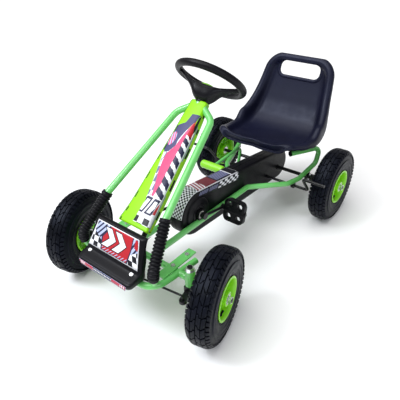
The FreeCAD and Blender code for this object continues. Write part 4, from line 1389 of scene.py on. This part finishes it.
def lip_graphics():
    """Strip on the bumper's lip: red ends with pale marks, and a dashed middle."""
    art = Sticker("Lip graphics", NAVY)
    middle = art.across(0.30, 0.70)
    ends = art.either(art.across(0.02, 0.12), art.across(0.88, 0.98))
    art.coat((0.42, 0.03, 0.06), art.outside(middle))
    art.coat(WHITE, middle, art.along(0.34, 0.66), art.stripes(art.u, 31.0, 0.55))
    art.coat(WHITE, ends, art.stripes(art.lean(0.02), 26.0, 0.55), art.along(0.2, 0.8))
    art.border(PALE_BLUE, 0.004, 0.07)
    return art.printed()


def cap_graphics():
    """Round sticker: pale green with a dark bar and white chequers."""
    art = Sticker("Cap graphics", (0.70, 0.86, 0.60))
    art.coat(INK, art.along(0.46, 0.60))
    art.coat(INK, art.across(0.62, 1.0), art.along(0.34, 0.68))
    art.coat(WHITE, art.across(0.66, 0.98), art.along(0.36, 0.64),
             art.chequers(art.u, art.v, 14.0, 14.0))
    art.coat((0.45, 0.78, 0.22), art.less(art.v, 0.34))
    return art.printed()


def sheet_rows(surface, u_range, v_range, u_steps, v_steps):
    """Points and UVs of a patch of a surface(u, v), which gives millimetres."""
    rows, uvs = [], []
    for i in range(v_steps + 1):
        b = i / v_steps
        v = v_range[0] + (v_range[1] - v_range[0]) * b
        row, uv = [], []
        for j in range(u_steps + 1):
            a = j / u_steps
            u = u_range[0] + (u_range[1] - u_range[0]) * a
            row.append(place(*surface(u, v)))
            uv.append((a, b))
        rows.append(row)
        uvs.append(uv)
    return rows, uvs


WRAP_START = 0.8


def plate_surface(u, v):
    """The bumper's plate, u from -1 to 1 over a sticker that is wider at its foot."""
    return slope_point(u * (0.93 - 0.12 * (v - 0.13)), v, 0.3)


def lip_surface(u, v):
    z = 171.0 + 14.5 * v
    return 0.9 * u * bumper_half_width(z), -490.6, z


def flank_surface(side, w, t):
    """The column cover's flank: w from 0 at its upper edge to 3 near its lower one."""
    centre, up, top, low, depth = fairing_station(t)
    flare = low - top
    x, h = spline([(top - 0.4, -1.5), (top + 0.1 * flare, -0.14 * depth),
                   (top + 0.5 * flare, -0.5 * depth), (low - 0.12 * flare, -0.85 * depth)], w)
    return centre + Vector((side * (x + 0.5), 0, 0)) + up * (h + 0.25)


def cover_surface(u, t):
    """The column cover's top, and on the driver's left the upper part of its flank."""
    if u < WRAP_START:
        return fairing_top(-0.97 + 1.94 * u / WRAP_START, t, 0.35)
    return flank_surface(1, 1.9 * (u - WRAP_START) / (1 - WRAP_START), t)


# Half of the case's section, from the middle of its edge to its face: width, depth.
CASE_SECTION = [(0, 0), (18.5, 0), (22, 0.5), (25, 2.2), (27, 4.8), (27.9, 8), (28, 12), (28, 54)]


def case_section(girth):
    """Width and depth at a distance round the case's section from its middle line."""
    left = abs(girth)
    for (x0, d0), (x1, d1) in zip(CASE_SECTION, CASE_SECTION[1:]):
        step = math.hypot(x1 - x0, d1 - d0)
        if left <= step:
            share = left / step
            return x0 + (x1 - x0) * share, d0 + (d1 - d0) * share
        left -= step
    return CASE_SECTION[-1]


def case_surface(girth, s, lift=0.35):
    """A point on the case: s along its top run, or round its front where s is negative."""
    across = CASE_REAR_CENTRE - CRANK
    high = math.atan2(across.z, across.y) + math.acos((CASE_FRONT - CASE_REAR) / across.length)
    width, depth = case_section(girth)
    turn = math.radians(90 * min(1.0, max(0.0, (abs(girth) - 18.5) / 13.6)))
    width += lift * math.sin(turn)
    depth -= lift * math.cos(turn)
    angle = high - min(s, 0.0) / CASE_FRONT
    out = Vector((0, math.cos(angle), math.sin(angle)))
    along = Vector((0, out.z, -out.y)) * max(s, 0.0)
    return CRANK + out * (CASE_FRONT - depth) + along + Vector((math.copysign(width, girth), 0, 0))


def case_side_surface(side, s, v):
    """The upper part of the case's face, in a strip that widens towards the rear."""
    reach = 19.5 + 0.045 * max(s, 0.0)
    return case_surface(side * (26.5 + reach * (1 - v)), s)


def sheet(name, slot, material, surface, u_range, v_range, u_steps, v_steps):
    """A thin printed sheet over a patch of a surface(u, v) of the frame."""
    rows, uvs = sheet_rows(surface, u_range, v_range, u_steps, v_steps)
    finish_piece(flat_sheet(name, rows, uvs, 0.2), "frame", slot, material)


def stickers():
    """Printed sheets that lie on the bumper, the column cover and the chain case."""
    sheet("plate_sticker", "black_plastic", plate_graphics(), plate_surface,
          (-1, 1), (0.13, 0.96), 12, 8)
    sheet("lip_sticker", "black_plastic", lip_graphics(), lip_surface, (-1, 1), (0, 1), 12, 2)
    sheet("cover_sticker", "lime_plastic", cover_graphics(), cover_surface, (0, 1),
          (0.06, 4.96), 24, 60)
    sheet("case_band_sticker", "black_plastic", case_band_graphics(),
          lambda s, girth: case_surface(girth, s), (-115, 207), (-26, 26), 60, 24)
    case_art = case_side_graphics()
    # The driver's left flank strip has a darker olive lime ground: painted shade on the lime flank, which is lit
    # less than the top. The right flank keeps the plain lime.
    for word, shift, ground, start in (("left", 0.05, (0.20, 0.44, 0.01), 2.0),
                                       ("right", 0.0, LIME, 0.35)):
        side = SIDES[word]
        sheet("flank_sticker_" + word, "lime_plastic",
              flank_graphics(word.title() + " flank graphics", ground, shift),
              partial(flank_surface, side), (start, 2.9), (0.15, 4.9), 8, 60)
        sheet("case_side_sticker_" + word, "black_plastic",
              case_art, partial(case_side_surface, side), (-5, 212), (0, 1), 40, 10)


# ------------------------------------------------------------------ camera, light and floor

CAMERA_PLACE = (696.0, -949.0, 910.0)
CAMERA_AZIMUTH = 39.05
CAMERA_ELEVATION = 32.91
CAMERA_ROLL = -1.10
CAMERA_LENS = 37.92


def camera():
    azimuth, elevation = math.radians(CAMERA_AZIMUTH), math.radians(CAMERA_ELEVATION)
    back = Vector((math.sin(azimuth) * math.cos(elevation),
                   -math.cos(azimuth) * math.cos(elevation), math.sin(elevation)))
    right = Vector((math.cos(azimuth), math.sin(azimuth), 0))
    up = back.cross(right)
    roll = math.radians(CAMERA_ROLL)
    tilted_right = right * math.cos(roll) + up * math.sin(roll)
    tilted_up = up * math.cos(roll) - right * math.sin(roll)
    data = bpy.data.cameras.new("Camera")
    data.lens = CAMERA_LENS
    data.sensor_width = 36.0
    seen = add_to_scene("Camera", data)
    turned = Matrix((tilted_right, tilted_up, back)).transposed().to_4x4()
    seen.matrix_world = Matrix.Translation(place(*CAMERA_PLACE)) @ turned
    bpy.context.scene.camera = seen


def add_light(name, kind, power, way, **settings):
    """A light that shines along a way."""
    data = bpy.data.lights.new(name, kind)
    data.energy = power
    for key, value in settings.items():
        setattr(data, key, value)
    light = add_to_scene(name, data)
    light.rotation_mode = "QUATERNION"
    light.rotation_quaternion = Vector(way).to_track_quat("-Z", "Y")
    return light


def panel(name, spot, power):
    """A cool round panel that is aimed at the kart's middle."""
    light = add_light(name, "AREA", power, Vector((0, 0, 0.2)) - Vector(spot), shape="DISK",
                      size=0.9, color=(0.86, 0.91, 1.0))
    light.location = spot


def studio():
    """A pale floor, soft light from all round and above, and cool panels for the highlights."""
    bpy.context.scene.view_settings.view_transform = "Standard"
    world = bpy.data.worlds.new("Studio")
    world.use_nodes = True
    background = world.node_tree.nodes["Background"]
    background.inputs["Color"].default_value = (1.0, 1.0, 1.0, 1.0)
    background.inputs["Strength"].default_value = 0.42
    bpy.context.scene.world = world
    add_light("Sky", "SUN", 2.5, (0.25, 0.35, -1.0), angle=math.radians(60))
    panel("Key", (-1.2, -1.8, 2.6), 42)
    panel("Fill", (2.4, -1.2, 1.8), 16)
    half = 60.0
    points = [Vector((x, y, 0.0)) for x, y in ((-half, -half), (half, -half), (half, half),
                                               (-half, half))]
    floor = make_object("Floor", points, [(0, 1, 2, 3)])
    paint = Paint("Pale floor")
    speck = paint.noise(3.0, 4.0)
    paint.surface(paint.mix(speck, (0.92, 0.92, 0.92), (0.95, 0.95, 0.95)), 0.9,
                  Specular_IOR_Level=0.1)
    floor.data.materials.append(paint.material)


camera()
studio()
dress_cad_nodes()
wheels()
hoses()
seat()
bumper()
fairing()
chain_case()
steering_wheel()
pedals()
brake_handle()
stickers()
